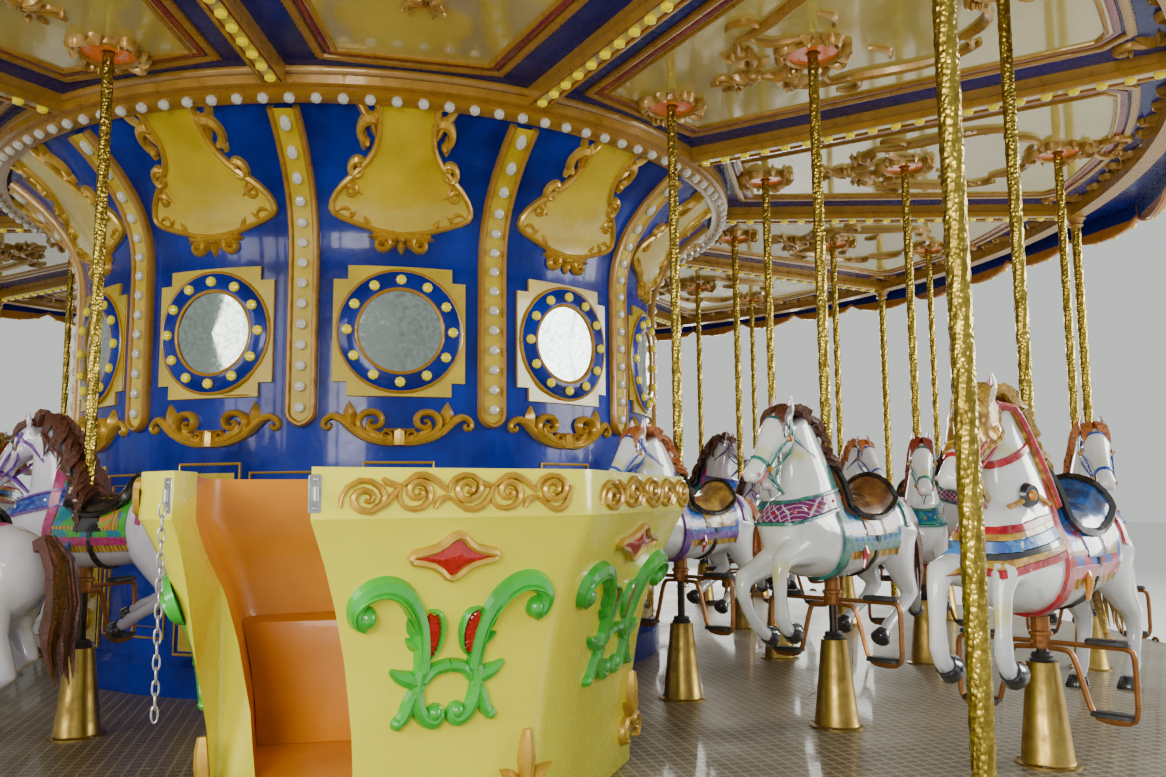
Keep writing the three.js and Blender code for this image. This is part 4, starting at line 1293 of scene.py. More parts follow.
def corner_leaves():
    """Gold leaves at the foot of a corner."""
    half = join(volute((0.01, 0.165), 25, 0.2, -4.0, -34.0, 0.04, 0.03),
                leaf((0.01, 0.17), 62, 0.11, 0.05, 0.03, -5.0),
                leaf((0.0, 0.15), 340, 0.14, 0.04, 0.026, 4.0))
    bud = ridge(np.array([(0.0, v) for v in (0.19, 0.225, 0.27, 0.315, 0.355)]), 0.06, 0.038, 0.5, 0.4, 0.5)
    return join(mirrored(half), bud, dome((0, 0.17), 0.028, 0.038))


def hasp():
    """A steel hasp plate with two bolts and a knuckle."""
    plate = slab(rounded(oblong(-0.017, -0.05, 0.017, 0.05), 0.006), 0.0, 0.004, 0.001)
    knuckle = tube([(0.0, -0.018, 0.009), (0.0, 0.018, 0.009)], 0.008, 10)
    bolts = [at(dome((0, v), 0.006, 0.004, 8), 0, 0, 0.003) for v in (-0.037, 0.037)]
    return join(plate, knuckle, bolts)


def hanging_chain(top):
    """Welded links hanging straight down from the post."""
    step = LINK * 0.76
    oval = [(0.0085 * cos(a), 0.0, LINK / 2 * sin(a)) for a in round_steps(12)]
    ring = tube(oval, 0.0026, 6, up=(0, 1, 0), loop=True)
    return join([at(spun(ring, 90 * (i % 2)), top.x, top.y, top.z - step * i)
                 for i in range(int(CHAIN_LENGTH / step))])


def build_chariot(word, bay):
    place = turn(bay * BAY)
    nodes = f"chariot_{word}_tub", f"chariot_{word}_bench"
    piece(nodes[0] + "_shell", tub_shell().moved(place), [TUB_YELLOW, TUB_ORANGE],
          nodes[:1], crease=35)
    piece(nodes[1] + "_seat", tub_bench().moved(place), [TUB_ORANGE], nodes[1:])
    gold, green = [], []
    for panel, stretch, centre, corner in (
            (0, 1.0, 0.035, 0.335), (1, 1.75, 0.02, 0.44), (2, 0.85, 0.0, 0.22), (3, 1.9, 0.0, 0.62),
            (4, 1.5, 0.02, 0.45)):
        lay = on_tub(panel, stretch)
        gold.append(at(wave_scroll(0.5 if panel == 2 else 0.7), centre, 0).moved(lay))
        gold.append(at(tub_gem(), centre, 0.887).moved(lay))
        green.append(at(tub_acanthus(), centre + 0.035, 0).moved(on_tub(panel, stretch * 0.9)))
        gold.append(at(corner_leaves(), corner, 0).moved(on_tub(panel)))
    piece(f"chariot_{word}_carving", join(gold + green).moved(place), [GOLD, RED_STONE, TUB_GREEN])
    post = Vector((-0.805, -4.65, DECK + 1.02))
    steel = join(at(hasp(), -0.375, 1.06).moved(on_tub(0)), at(hasp(), -0.17, 1.06).moved(on_tub(5)),
                 hanging_chain(post))
    piece(f"chariot_{word}_hasps_chain", steel.moved(place), [BRIGHT_STEEL])


# Horses, drawn heading along +X with the pole at the origin and z = 0 under the belly clamp.
# Stations of a limb are x, z, half height and half width in millimetres.

POLE_TOP = 3.11
MIDDLE = 0.345
TORSO = metres([
    (-715, 440, 45, 45), (-685, 435, 125, 110), (-600, 415, 185, 160), (-450, 385, 198, 176),
    (-280, 350, 190, 172), (-100, 330, 188, 170), (80, 330, 190, 168), (240, 360, 205, 165),
    (360, 395, 210, 150), (450, 420, 165, 120), (505, 435, 85, 70)])
NECK = metres([
    (160, 440, 215, 140), (190, 540, 210, 125), (215, 650, 185, 105), (240, 750, 158, 85),
    (275, 850, 128, 68), (315, 935, 98, 58)])
POLL = Vector((0.405, 0, 0.975))
HEAD = metres([
    (405, 975, 50, 45), (450, 965, 82, 62), (510, 925, 95, 69), (565, 875, 78, 60), (620, 828, 60, 49),
    (675, 780, 50, 43), (718, 742, 50, 46), (748, 712, 30, 32)])
CREST = metres([
    (300, 1000), (226, 980), (156, 900), (89, 798), (35, 698), (-10, 600), (-35, 530)])
GATHERED = {
    "head": (0.372, 0.932, 5),
    "legs": [
        (0.085, (-0.95, -0.3), metres([
            (240, 340, 120, 78), (380, 300, 85, 62), (500, 285, 64, 52),
            (575, 255, 55, 48), (595, 190, 40, 36), (595, 70, 32, 30),
            (590, -10, 38, 35), (565, -55, 32, 31), (525, -80, 38, 37)])),
        (-0.085, (-0.95, -0.3), metres([
            (240, 300, 120, 78), (400, 245, 80, 60), (540, 205, 60, 50),
            (655, 165, 52, 46), (665, 100, 38, 34), (610, 0, 31, 29),
            (550, -65, 37, 34), (510, -95, 31, 30), (470, -115, 38, 37)])),
        (0.09, (0.75, -0.66), metres([
            (-520, 360, 170, 90), (-530, 240, 135, 85), (-585, 130, 82, 60),
            (-660, 10, 56, 45), (-570, -50, 36, 32), (-470, -100, 31, 29),
            (-410, -130, 37, 34), (-375, -155, 31, 30), (-340, -170, 38, 37)])),
        (-0.09, (0.75, -0.66), metres([
            (-500, 360, 170, 90), (-490, 240, 130, 82), (-520, 140, 78, 58),
            (-590, 60, 54, 42), (-500, 0, 36, 32), (-400, -45, 31, 29),
            (-340, -70, 37, 34), (-300, -95, 31, 30), (-265, -110, 38, 37)])),
    ],
}
STRETCHED = {
    "head": (0.412, 0.928, 5),
    "legs": [
        (0.085, (-0.9, -0.4), metres([
            (220, 360, 120, 78), (330, 340, 85, 62), (440, 335, 64, 52),
            (515, 315, 55, 48), (540, 250, 40, 36), (550, 130, 32, 30),
            (555, 50, 38, 35), (540, 5, 32, 31), (505, -20, 38, 37)])),
        (-0.085, (-0.9, -0.4), metres([
            (260, 340, 120, 78), (420, 335, 82, 60), (570, 335, 62, 52),
            (665, 325, 54, 47), (690, 260, 39, 35), (695, 150, 32, 30),
            (695, 70, 38, 35), (680, 25, 31, 31), (645, 0, 38, 37)])),
        (0.09, (0.3, -0.95), metres([
            (-550, 380, 170, 90), (-600, 270, 135, 85), (-700, 170, 82, 60),
            (-810, 85, 58, 45), (-830, 0, 36, 33), (-800, -90, 31, 29),
            (-770, -150, 38, 35), (-745, -180, 32, 31), (-720, -205, 38, 37)])),
        (-0.09, (0.3, -0.95), metres([
            (-520, 370, 170, 90), (-560, 250, 130, 82), (-650, 150, 78, 58),
            (-735, 65, 54, 42), (-740, -20, 36, 32), (-700, -100, 31, 29),
            (-670, -155, 37, 34), (-645, -185, 31, 30), (-620, -205, 38, 37)])),
    ],
}
SKIN_VOXEL = 0.011
SKIN_TRIANGLES = 3500
ROW_GAITS = {"inner": GATHERED, "middle": GATHERED, "outer": STRETCHED}

# Numbers of the finishes on a figure
COAT, MANE, HOOF, SEAT_LEATHER, STRAP, BLANKET, BORDER = range(7)
PATCH, FRINGE, COLLAR, BRIDLE, STONE, PINK, ARMOUR = range(7, 14)


def head_move(gait):
    """Carries the head from the pose it is drawn in to its place on the neck."""
    x, z, dip = gait["head"]
    return Matrix.Translation((x, 0, z)) @ Matrix.Rotation(radians(dip), 4, "Y") @ Matrix.Translation(-POLL)


def on_side(side, *points):
    """Points in millimetres, given for the left side, on the left or the right."""
    return [(x, side * y, z) for x, y, z in metres(points)]


def limb(stations, side=0.0, sides=14):
    """A limb through its stations, in the plane y = side."""
    rows = []
    for k, (x, z, tall, wide) in enumerate(stations):
        before, after = stations[max(k - 1, 0)], stations[min(k + 1, len(stations) - 1)]
        along = np.array([after[0] - before[0], after[1] - before[1]])
        along /= np.linalg.norm(along)
        rows.append([(x - along[1] * tall * cos(a), side + wide * sin(a), z + along[0] * tall * cos(a))
                     for a in round_steps(sides)])
    return grid(rows, ring=True, capped=True)


def head_form():
    """Skull, ears, brows, cheeks, nostrils and chin, in the pose they are drawn in."""
    jaw = tube([(0.62, 0, 0.775), (0.67, 0, 0.735), (0.705, 0, 0.7)], [0.034, 0.03, 0.024], 10)
    parts = [limb(HEAD, sides=18), jaw]
    ear = (430, 38, 1005), (432, 48, 1045), (430, 52, 1085), (424, 48, 1125)
    brow = (500, 50, 965), (545, 52, 935), (575, 42, 900)
    cheek = (470, 45, 900), (520, 45, 865), (560, 35, 845)
    nose = (705, 26, 770), (738, 30, 735), (755, 18, 705)
    for side in (-1, 1):
        parts.append(tube(on_side(side, *ear), [0.024, 0.028, 0.02, 0.005], 8, flat=0.7))
        for points, radii in ((brow, (0.02, 0.024, 0.014)), (cheek, (0.042, 0.044, 0.025)),
                              (nose, (0.018, 0.022, 0.014))):
            parts.append(tube(on_side(side, *points), radii, 8))
    return join(parts)


def horse_form(gait):
    """The bare body as one smooth skin."""
    parts = [limb(TORSO, sides=24), limb(NECK, sides=18), head_form().moved(head_move(gait))]
    for side, _, stations in gait["legs"]:
        parts.append(limb(stations, side))
    for side in (-1, 1):
        chest = on_side(side, (380, 60, 490), (445, 65, 420), (420, 60, 320))
        parts.append(tube(chest, [0.065, 0.075, 0.055], 10))
        haunch = on_side(side, (-500, 85, 460), (-560, 95, 360), (-540, 90, 240))
        parts.append(tube(haunch, [0.08, 0.105, 0.075], 10))
    blank = blank_object(join(parts))
    remesh = blank.modifiers.new("skin", "REMESH")
    remesh.mode = "VOXEL"
    remesh.voxel_size = SKIN_VOXEL
    even = blank.modifiers.new("even", "SMOOTH")
    even.factor = 0.6
    even.iterations = 5
    fewer = blank.modifiers.new("fewer", "DECIMATE")
    bpy.context.view_layer.update()
    fewer.ratio = min(1.0, SKIN_TRIANGLES / (2 * len(shaped(blank).faces)))
    result = shaped(blank)
    bpy.data.objects.remove(blank)
    return result.finished(COAT)


def lid(outer, inner, look=0):
    """A sheet whose edges turn down to a lower sheet."""
    outer, inner = np.array(outer), np.array(inner)
    rows = np.concatenate([inner[:1], outer, inner[-1:]])
    ends = np.concatenate([inner[:1], inner, inner[-1:]])
    return grid(np.concatenate([ends[:, :1], rows, ends[:, -1:]], axis=1), look=look)


def plate(rows, lift, depth, look):
    """A sheet lifted off rows of points met on the skin, by one height or one for each row."""
    lifts = np.broadcast_to(lift, (len(rows),))
    outer = [[point + out * rise for point, out in met] for met, rise in zip(rows, lifts)]
    inner = [[point - out * depth for point, out in met] for met in rows]
    return lid(outer, inner, look), outer


class Skin:
    """The horse's surface, for laying tack on it."""

    def __init__(self, form):
        self.tree = BVHTree.FromPolygons([Vector(point) for point in form.points], form.faces)

    def meet(self, centre, way):
        """The outermost point of the skin seen from a centre in one direction."""
        centre, way = Vector(centre), Vector(way).normalized()
        hit = self.tree.ray_cast(centre + way * 0.7, -way, 0.7)
        return np.array(hit[0] if hit[0] else centre + way * 0.02), np.array(way)

    def shell(self, stations, angles, lift, look):
        """A sheet over the back, through stations along x and angles in degrees from the top."""
        rows = [[self.meet((x, 0, MIDDLE), (0, sin(a), cos(a))) for a in np.radians(angles)]
                for x in stations]
        return plate(rows, lift, 0.008, look)[0]

    def band(self, centre, forward, normal, width, lift=0.006, start=0, end=360, count=24, look=0):
        """A strap round the skin in a plane through a centre; degrees run from forward towards +Y."""
        forward, normal = Vector(forward).normalized(), Vector(normal).normalized()
        side = normal.cross(forward)
        closed = end - start >= 360
        rows = []
        for a in np.radians(np.linspace(start, end, count, endpoint=not closed)):
            way = forward * cos(a) + side * sin(a)
            row = []
            for across, rise in ((-0.5, -0.006), (-0.4, lift), (0.4, lift), (0.5, -0.006)):
                point, out = self.meet(Vector(centre) + normal * width * across, way)
                row.append(point + out * rise)
            rows.append(row)
        return grid(rows, loop=closed, look=look)


def lock(points, radius):
    """One waved lock of hair."""
    return tube(smooth(points, 6), radius * np.array([0.8, 1.15, 1.1, 0.9, 0.6, 0.1]), 4, up=(0.3, 1, 0.2),
                flat=0.7, look=MANE)


def mane_and_tail(gait, full):
    """Locks down the crest, over the forehead and from the dock; full is 1 for long hair on both sides."""
    crest = smooth([(x, 0.0, z) for x, z in CREST], 21)
    parts = []
    for side in (-1, 1):
        long = 1.0 if side < 0 or full else 0.45
        count = 13 if long == 1.0 else 9
        for i in range(count):
            share = i / (count - 1)
            wide = (0.06 + 0.06 * share ** 1.4) * (1.12 if full else 1.0)
            wave = 0.024 * sin(i * 2.1)
            fall = np.array([(0.012, 0, 0.016), (-0.016, side * 0.026, 0.026),
                             (-0.034, side * wide * 0.75, -0.012), (-0.03 + wave, side * wide, -0.062),
                             (-0.056 - wave, side * (wide + 0.014), -0.12),
                             (-0.045 + wave, side * (wide + 0.008), -0.175)])
            fall[:, 2] *= long
            fall[:, 1] *= 0.62 + 0.38 * long
            parts.append(lock(crest[int(share * 20)] + fall * (1.18 if full else 1.0), 0.026 + 0.006 * full))
        for i in range(4):
            root = np.array((0.41, side * (0.006 + 0.012 * i), 1.035 - 0.004 * i))
            sweep_over = np.array([(0, 0, 0), (0.045, side * 0.01, 0.022), (0.092, side * 0.016, -0.006),
                                   (0.118, side * 0.022, -0.05), (0.122, side * 0.028, -0.092 - 0.012 * i)])
            parts.append(lock(root + sweep_over, 0.023).moved(head_move(gait)))
    parts.append(tube(crest + (0.004, 0, 0.006), 0.027 + 0.006 * full, 8, up=(0, 1, 0), look=MANE))
    if full:
        knot = metres([(395, 0, 1020), (385, 4, 1075), (360, 0, 1100), (330, -4, 1085)])
        parts += [lock(np.array(knot) + (0, side * 0.012, 0), 0.036).moved(head_move(gait))
                  for side in (-1, 1)]
    for i in range(13):
        spread = (i % 7 / 6 - 0.5) * 0.12
        wave = 0.022 * sin(i * 1.7)
        near = 1.0 if i < 7 else 0.88
        swish = np.array([(0.02, 0, 0), (-0.06, spread * 0.3, 0.028), (-0.125, spread * 0.7, -0.06 + wave),
                          (-0.148, spread, -0.21), (-0.125 + wave, spread * 1.2, -0.36),
                          (-0.155, spread * 0.9, -0.5 - wave)])
        parts.append(lock(np.array((-0.695, 0.0, 0.49 + 0.012 * (i > 6))) + swish * near, 0.032))
    return join(parts)


def hooves(gait):
    """A flared black hoof at the end of each leg."""
    parts = []
    for side, (dx, dz), stations in gait["legs"]:
        x, z = stations[-1][:2]
        path = [(x + dx * t, side, z + dz * t) for t in (-0.006, 0.006, 0.04, 0.052)]
        parts.append(tube(path, [0.04, 0.043, 0.054, 0.047], 12, up=(0, 1, 0), look=HOOF))
    return join(parts)


def face_details():
    """Eyes, nostrils, lips and the pink of the ears."""
    parts = []
    for side in (-1, 1):
        eye = tube(on_side(side, (535, 52, 938), (538, 72, 940)), [0.019, 0.013], 10, flat=0.8, look=HOOF)
        nostril = tube(on_side(side, (738, 40, 738), (744, 52, 740)), [0.013, 0.009], 8, look=PINK)
        lip = tube(smooth(on_side(side, (640, 36, 752), (680, 36, 722), (722, 28, 700)), 5),
                   [0.006, 0.01, 0.011, 0.01, 0.006], 5, look=PINK)
        inner_ear = tube(on_side(side, (450, 48, 1030), (450, 53, 1068), (436, 50, 1105)),
                         [0.01, 0.013, 0.004], 5, flat=0.5, look=PINK)
        parts += [eye, nostril, lip, inner_ear]
    return join(parts)


def saddle(skin):
    """A dished seat with a raised pommel and cantle, a rolled rim and flaps."""
    stations = np.linspace(0.02, -0.4, 11)
    turns = np.linspace(-1, 1, 13)
    outer, inner = [], []
    for k, x in enumerate(stations):
        share = k / (len(stations) - 1)
        spread = 30 + 28 * sin(pi * (0.12 + 0.76 * share))
        rise = 0.032 + 0.06 * max(0.0, share - 0.72) / 0.28 + 0.05 * max(0.0, 0.22 - share) / 0.22
        met = [skin.meet((x, 0, MIDDLE), (0, sin(a), cos(a))) for a in np.radians(turns * spread)]
        outer.append([point + way * (rise * cos(t * 1.07) + 0.012) for (point, way), t in zip(met, turns)])
        inner.append([point - way * 0.004 for point, way in met])
    seat = lid(outer, inner, SEAT_LEATHER)
    loop = [row[-1] for row in outer] + outer[-1][11:1:-1] + [row[0] for row in outer[::-1]] + outer[0][1:12]
    border = tube(np.array(loop), 0.018, 5, loop=True, look=STRAP)
    flaps = [skin.shell(np.linspace(-0.07, -0.26, 5), side * np.linspace(50, 86, 5),
                        0.026 * np.sin(pi * np.linspace(0.2, 0.8, 5)), look=SEAT_LEATHER)
             for side in (-1, 1)]
    girth = skin.band((-0.18, 0, MIDDLE), (0, 0, 1), (1, 0, 0), 0.034, 0.016, 60, 300, 20, look=STRAP)
    return join(seat, border, flaps, girth)


def blanket(skin):
    """A cloth over the back with a border, a fringe and a patch on each side."""
    back = np.linspace(0.13, -0.42, 12)
    parts = [skin.shell(back, np.linspace(-106, 106, 21), 0.009, look=BLANKET),
             skin.band((0.115, 0, MIDDLE), (0, 0, 1), (1, 0, 0), 0.075, 0.015, look=BORDER)]
    for side in (-1, 1):
        parts += [skin.shell(back, side * np.linspace(96, 110, 3), 0.015, look=BORDER),
                  skin.shell(back[::2], side * np.linspace(76, 82, 2), 0.012, look=FRINGE),
                  skin.shell(np.linspace(0.12, -0.42, 28), side * np.array([108, 124]),
                             0.005 + 0.007 * (np.arange(28) % 2), look=FRINGE),
                  skin.shell(back[6:11], side * np.linspace(50, 84, 5), 0.014, look=FRINGE),
                  skin.shell(back[7:10], side * np.linspace(54, 80, 4), 0.018, look=PATCH)]
        tassel = skin.meet((-0.05, 0, MIDDLE), (0, side * 0.97, -0.18))[0]
        fall = [tassel, tassel + (0.01, side * 0.016, -0.05), tassel + (0.03, side * 0.012, -0.12)]
        parts.append(tube(fall, [0.012, 0.018, 0.006], 6, look=STONE))
    parts.append(skin.band((-0.5, 0, 0.36), (0, 0, 1), (1, 0, 0.25), 0.04, 0.014, -80, 80, 14, look=BORDER))
    return join(parts)


def collar(skin):
    """A wide strap round the foot of the neck between two cords, set with stones."""
    centre, forward, normal = (0.27, 0, 0.52), (1, 0, -0.18), (0.18, 0, 1)
    parts = [skin.band(centre, forward, normal, 0.088, 0.012, count=30, look=COLLAR)]
    for shift in (-0.046, 0.046):
        place = (centre[0] + 0.18 * shift, 0, centre[2] + shift)
        parts.append(skin.band(place, forward, normal, 0.016, 0.019, count=30, look=BRIDLE))
    for a in np.radians(np.arange(-150, 151, 25)):
        point, way = skin.meet(centre, (cos(a), sin(a), -0.18 * cos(a)))
        parts.append(tube([point, point + way * 0.017], [0.013, 0.007], 6, look=STONE))
    return join(parts)


def bridle(skin, gait):
    """Bands round nose and brow, cheek straps and gold bosses."""
    move = head_move(gait)
    way = move.to_3x3()
    across, along = way @ Vector((0.75, 0, 0.66)), way @ Vector((0.66, 0, -0.75))
    parts = [skin.band(move @ Vector((0.665, 0, 0.785)), across, along, 0.02, 0.007, count=16, look=BRIDLE),
             skin.band(move @ Vector((0.47, 0, 0.945)), across, along, 0.02, 0.009, count=18, look=BRIDLE)]
    straps = []
    for side in (-1, 1):
        centre = Vector((0.505, side * 0.079, 0.895))
        runs = ([(0.468, side * 0.066, 0.99), (0.485, side * 0.076, 0.945), centre],
                [centre, (0.575, side * 0.068, 0.85), (0.655, side * 0.053, 0.77)],
                [centre, (0.49, side * 0.074, 0.84), (0.565, side * 0.05, 0.775),
                 (0.65, side * 0.05, 0.745)])
        for run in runs:
            straps.append(tube(smooth(run, 6), 0.009, 5, up=(0, 1, 0), flat=0.6, look=BRIDLE))
        straps.append(tube([centre, centre + Vector((0, side * 0.012, 0))], [0.022, 0.016], 10, look=FRINGE))
        straps.append(tube([centre, centre + Vector((0, side * 0.018, 0))], [0.015, 0.009], 8, look=STONE))
        straps.append(tube(on_side(side, (652, 52, 758), (656, 62, 757)), [0.017, 0.014], 8, look=FRINGE))
    return join(parts, join(straps).moved(move))


def armour(skin, gait):
    """Gold face and crest plates, a striped breast band and an oval medallion on cords."""
    move = head_move(gait)
    way = move.to_3x3()
    face = way @ Vector((0.75, 0, 0.66))
    rows = [[skin.meet(move @ Vector((0.425 + 0.2 * t, 0, 0.98 - 0.175 * t)),
                       face * cos(a) + Vector((0, sin(a), 0)))
             for a in np.radians(np.linspace(-112, 112, 15))] for t in np.linspace(0, 1, 8)]
    face_plate, outer = plate(rows, 0.013, 0.004, ARMOUR)
    parts = [face_plate] + [tube([row[j] for row in outer], 0.009, 6, look=FRINGE) for j in (0, 14)]
    rows = [[skin.meet((x + 0.11, 0, z - 0.06), Vector((-0.9, 0, 0.43)) * cos(a) + Vector((0, sin(a), 0)))
             for a in np.radians(np.linspace(-84, 84, 15))] for x, z in smooth(CREST[:6], 11)]
    crest_plate, outer = plate(rows, 0.018, 0.004, ARMOUR)
    parts.append(crest_plate)
    parts += [tube([row[j] for row in outer], 0.016, 6, up=(0, 1, 0), look=BORDER) for j in (1, 13)]
    shift = 0.064
    for wide, look in ((0.024, BORDER), (0.022, PATCH), (0.044, COLLAR), (0.022, HOOF), (0.026, PATCH),
                       (0.03, BORDER)):
        shift -= wide / 2
        parts.append(skin.band((0.26 + 0.14 * shift, 0, 0.455 + shift), (1, 0, -0.14), (0.14, 0, 1),
                               wide + 0.004, 0.013, -122, 122, 22, look=look))
        shift -= wide / 2
    for side in (-1, 1):
        met = [skin.meet((x, 0, z), (0.25, side, 0))
               for x, z in ((0.385, 0.56), (0.35, 0.565), (0.31, 0.58), (0.27, 0.6), (0.23, 0.6),
                            (0.19, 0.585), (0.15, 0.565))]
        cord = [point + out * 0.01 for point, out in met]
        parts.append(tube(smooth(cord, 13), 0.011, 6, look=PATCH))
        point, out = skin.meet((0.27, 0, 0.6), (0.25, side, 0))
        parts.append(tube([point, point + out * 0.021], [0.05, 0.04], 14, look=HOOF))
        parts.append(tube([point, point + out * 0.032], [0.03, 0.016], 12, look=STONE))
    parts.append(skin.band((0.27, 0, 0.77), (1, 0, -0.45), (0.45, 0, 1), 0.03, 0.011, count=20, look=BRIDLE))
    parts.append(skin.band(move @ Vector((0.635, 0, 0.812)), face, way @ Vector((0.66, 0, -0.75)), 0.034,
                           0.016, count=16, look=FRINGE))
    return join(parts)


def pole_and_rod():
    """Embossed brass pole above, plain dark rod below, and the belly clamp."""
    pole = embossed_bar(POLE, 0.16, POLE_TOP, sides=10, row=0.037)
    rod = tube([(0, 0, z) for z in (-0.41, 0.03)], 0.0195, 12, up=(1, 0, 0), look=1)
    clamp = metres([(20, 1), (38, 1), (40, 8), (40, 50), (46, 54), (46, 66), (36, 72), (36, 125), (20, 125)])
    bolts = [tube([(0.034, y, 0.03), (0.053, y, 0.03)], 0.007, 6, look=2) for y in (-0.014, 0.014)]
    return join(pole, rod, lathe(clamp + clamp[:1], 14, look=2), bolts)


def foot_rests():
    """Copper-brown tube frames on both sides with black treads."""
    parts = []
    for side in (-1, 1):
        loop = metres([(30, 26), (255, 26), (318, 22), (337, -12), (338, -150), (334, -215), (305, -246),
                       (225, -247), (190, -232), (168, -195), (132, -60), (110, -8), (78, 2), (30, 4)])
        path = smooth([(0.0, side * y, z) for y, z in loop], 27)
        parts.append(tube(path, 0.0115, 6, up=(1, 0, 0)))
        gusset = [(0.19, -0.247), (0.318, -0.247), (0.325, -0.228), (0.182, -0.228)]
        plate = slab(gusset, -0.01, 0.01, 0.002)
        parts.append(plate.moved(Matrix(((0, 0, 1, 0), (side, 0, 0, 0), (0, 1, 0, 0), (0, 0, 0, 1)))))
        for low, high, wide, level in ((0.165, 0.325, 0.03, 0.036), (0.172, 0.326, 0.034, -0.232)):
            outline = rounded(oblong(-wide, low, wide, high), 0.022, 3)
            pad = slab(outline, level, level + 0.018, 0.006, look=1)
            parts.append(pad.moved(Matrix.Diagonal((1, side, 1, 1))))
    return join(parts)


def cloth_paint(name, first, second, stripes=0.0):
    """Painted cloth: two colours in waved bars or in blots, with a worn gloss."""
    finish = Finish(name, coat=0.4)
    if stripes:
        wave = (finish.axis("Z") * 60.0).sine() * 0.9
        share = (finish.axis("X") * stripes + wave).sine().over(-0.2, 0.2)
    else:
        share = finish.noise(22.0, 2.0).over(0.46, 0.54)
    worn = finish.noise(45.0, 4.0).over(0.55, 0.8)
    colour = finish.mix(share, first, second)
    finish.set("Base Color", finish.mix(worn * 0.25, colour, (0.62, 0.62, 0.58)))
    finish.relief(share, 0.3, 0.003)
    return finish.material


def lattice_paint(name, ground, line):
    """Crossed pale lines on a dark ground."""
    finish = Finish(name, roughness=0.28, coat=0.5)
    x, y, z = finish.axis("X"), finish.axis("Y"), finish.axis("Z")
    first = ((x * 0.6 + y + z) * 75.0).sine().size().over(0.3, 0.12)
    second = ((x * 0.6 + y - z) * 75.0).sine().size().over(0.3, 0.12)
    finish.set("Base Color", finish.mix((first + second).capped(), ground, line))
    return finish.material


def coat_paint(name, light, shade, stain):
    """Glossy horse coat, greyer low down as painted shade, with soft grey clouds and old yellow stains."""
    finish = Finish(name, roughness=0.14, coat=0.8)
    # Painted shade: the coat turns towards the shade colour lower down; the noise adds soft grey clouds.
    low = finish.axis("Z").over(0.32, -0.22)
    cloud = finish.noise(5.0, 4.0).over(0.4, 0.7)
    tone = finish.mix((low * 0.7 + cloud * 0.3).capped(), light, shade)
    blot = finish.noise(3.4, 2.0, 0.4).over(0.66, 0.74)
    finish.set("Base Color", finish.mix(blot * stain, tone, (0.66, 0.6, 0.12)))
    finish.relief(finish.noise(12.0, 2.0), 0.05, 0.01)
    return finish.material


def hair_paint(name, light, dark):
    """Painted hair, light and dark in fine strands."""
    finish = Finish(name, roughness=0.36, coat=0.4)
    strands = finish.node("ShaderNodeTexNoise", {}, Vector=finish.place, Scale=70.0, Detail=3.0,
                          Distortion=1.5)
    share = strands.over(0.35, 0.65)
    finish.set("Base Color", finish.mix(share, dark, light))
    finish.relief(share, 0.6, 0.004)
    return finish.material


def armour_paint(name):
    """Embossed gold plate with small scrolls in relief."""
    finish = Finish(name, roughness=0.34, metallic=0.35, coat=0.3)
    curls = finish.node("ShaderNodeTexVoronoi", {"feature": "SMOOTH_F1"}, Vector=finish.place, Scale=34.0)
    share = curls.over(0.15, 0.55)
    finish.set("Base Color", finish.mix(share, (0.7, 0.42, 0.06), (0.26, 0.12, 0.012)))
    finish.relief(share, 0.9, 0.006)
    return finish.material


WHITE_COAT = coat_paint("white_horse_gloss", (0.8, 0.82, 0.84), (0.5, 0.52, 0.6), 0.8)
LILAC_COAT = coat_paint("lilac_horse_gloss", (0.72, 0.7, 0.8), (0.36, 0.33, 0.52), 0.3)
HAIRS = {
    "brown": hair_paint("dark_brown_hair", (0.17, 0.04, 0.014), (0.028, 0.009, 0.006)),
    "orange": hair_paint("orange_hair", (0.62, 0.19, 0.03), (0.24, 0.055, 0.008)),
    "red": hair_paint("red_brown_hair", (0.36, 0.03, 0.012), (0.1, 0.008, 0.005)),
    "gold": hair_paint("gold_crest_paint", (0.6, 0.37, 0.055), (0.24, 0.12, 0.012)),
}
SADDLE_BRONZE = gloss_paint("bronze_saddle_gloss", (0.34, 0.14, 0.035), (0.08, 0.03, 0.01), mottle=9.0,
                            coat=0.8)
SADDLE_BLUE = gloss_paint("blue_saddle_gloss", (0.02, 0.14, 0.52), (0.012, 0.02, 0.08), mottle=16.0,
                          coat=0.9)
SADDLE_YELLOW = gloss_paint("yellow_brown_saddle_gloss", (0.52, 0.33, 0.06), (0.17, 0.08, 0.02), mottle=10.0,
                            coat=0.7)
BLACK_GLOSS = gloss_paint("black_leather_gloss", (0.015, 0.014, 0.016), (0.006, 0.006, 0.007), mottle=14.0,
                          coat=0.8)
HOOF_GLOSS = gloss_paint("black_hoof_gloss", (0.018, 0.02, 0.034), (0.008, 0.008, 0.014), mottle=14.0,
                         coat=0.9)
PINK_PAINT = gloss_paint("pink_lip_paint", (0.7, 0.28, 0.32), (0.5, 0.14, 0.18), mottle=20.0)
COPPER = plain_metal("copper_brown_tube", (0.36, 0.14, 0.035), roughness=0.32, metallic=0.55)
DARK_ROD = plain_metal("dark_greased_rod", (0.07, 0.05, 0.04), roughness=0.3)
FRINGE_GOLD = cloth_paint("gold_fringe_paint", (0.6, 0.36, 0.05), (0.3, 0.16, 0.02), 240.0)
STONES = {
    "red": lamp_glass("ruby_paint", (0.55, 0.02, 0.02), 0.0, 0.1),
    "green": lamp_glass("emerald_paint", (0.02, 0.42, 0.16), 0.0, 0.1),
    "amber": lamp_glass("amber_paint", (0.8, 0.3, 0.01), 0.0, 0.1),
    "blue": BLUE_STONE,
}
TEAL = cloth_paint("teal_strap_paint", (0.01, 0.11, 0.11), (0.02, 0.22, 0.18))
ROYAL = cloth_paint("royal_strap_paint", (0.01, 0.04, 0.34), (0.03, 0.1, 0.48))
PURPLE = cloth_paint("purple_strap_paint", (0.1, 0.015, 0.26), (0.18, 0.04, 0.36))
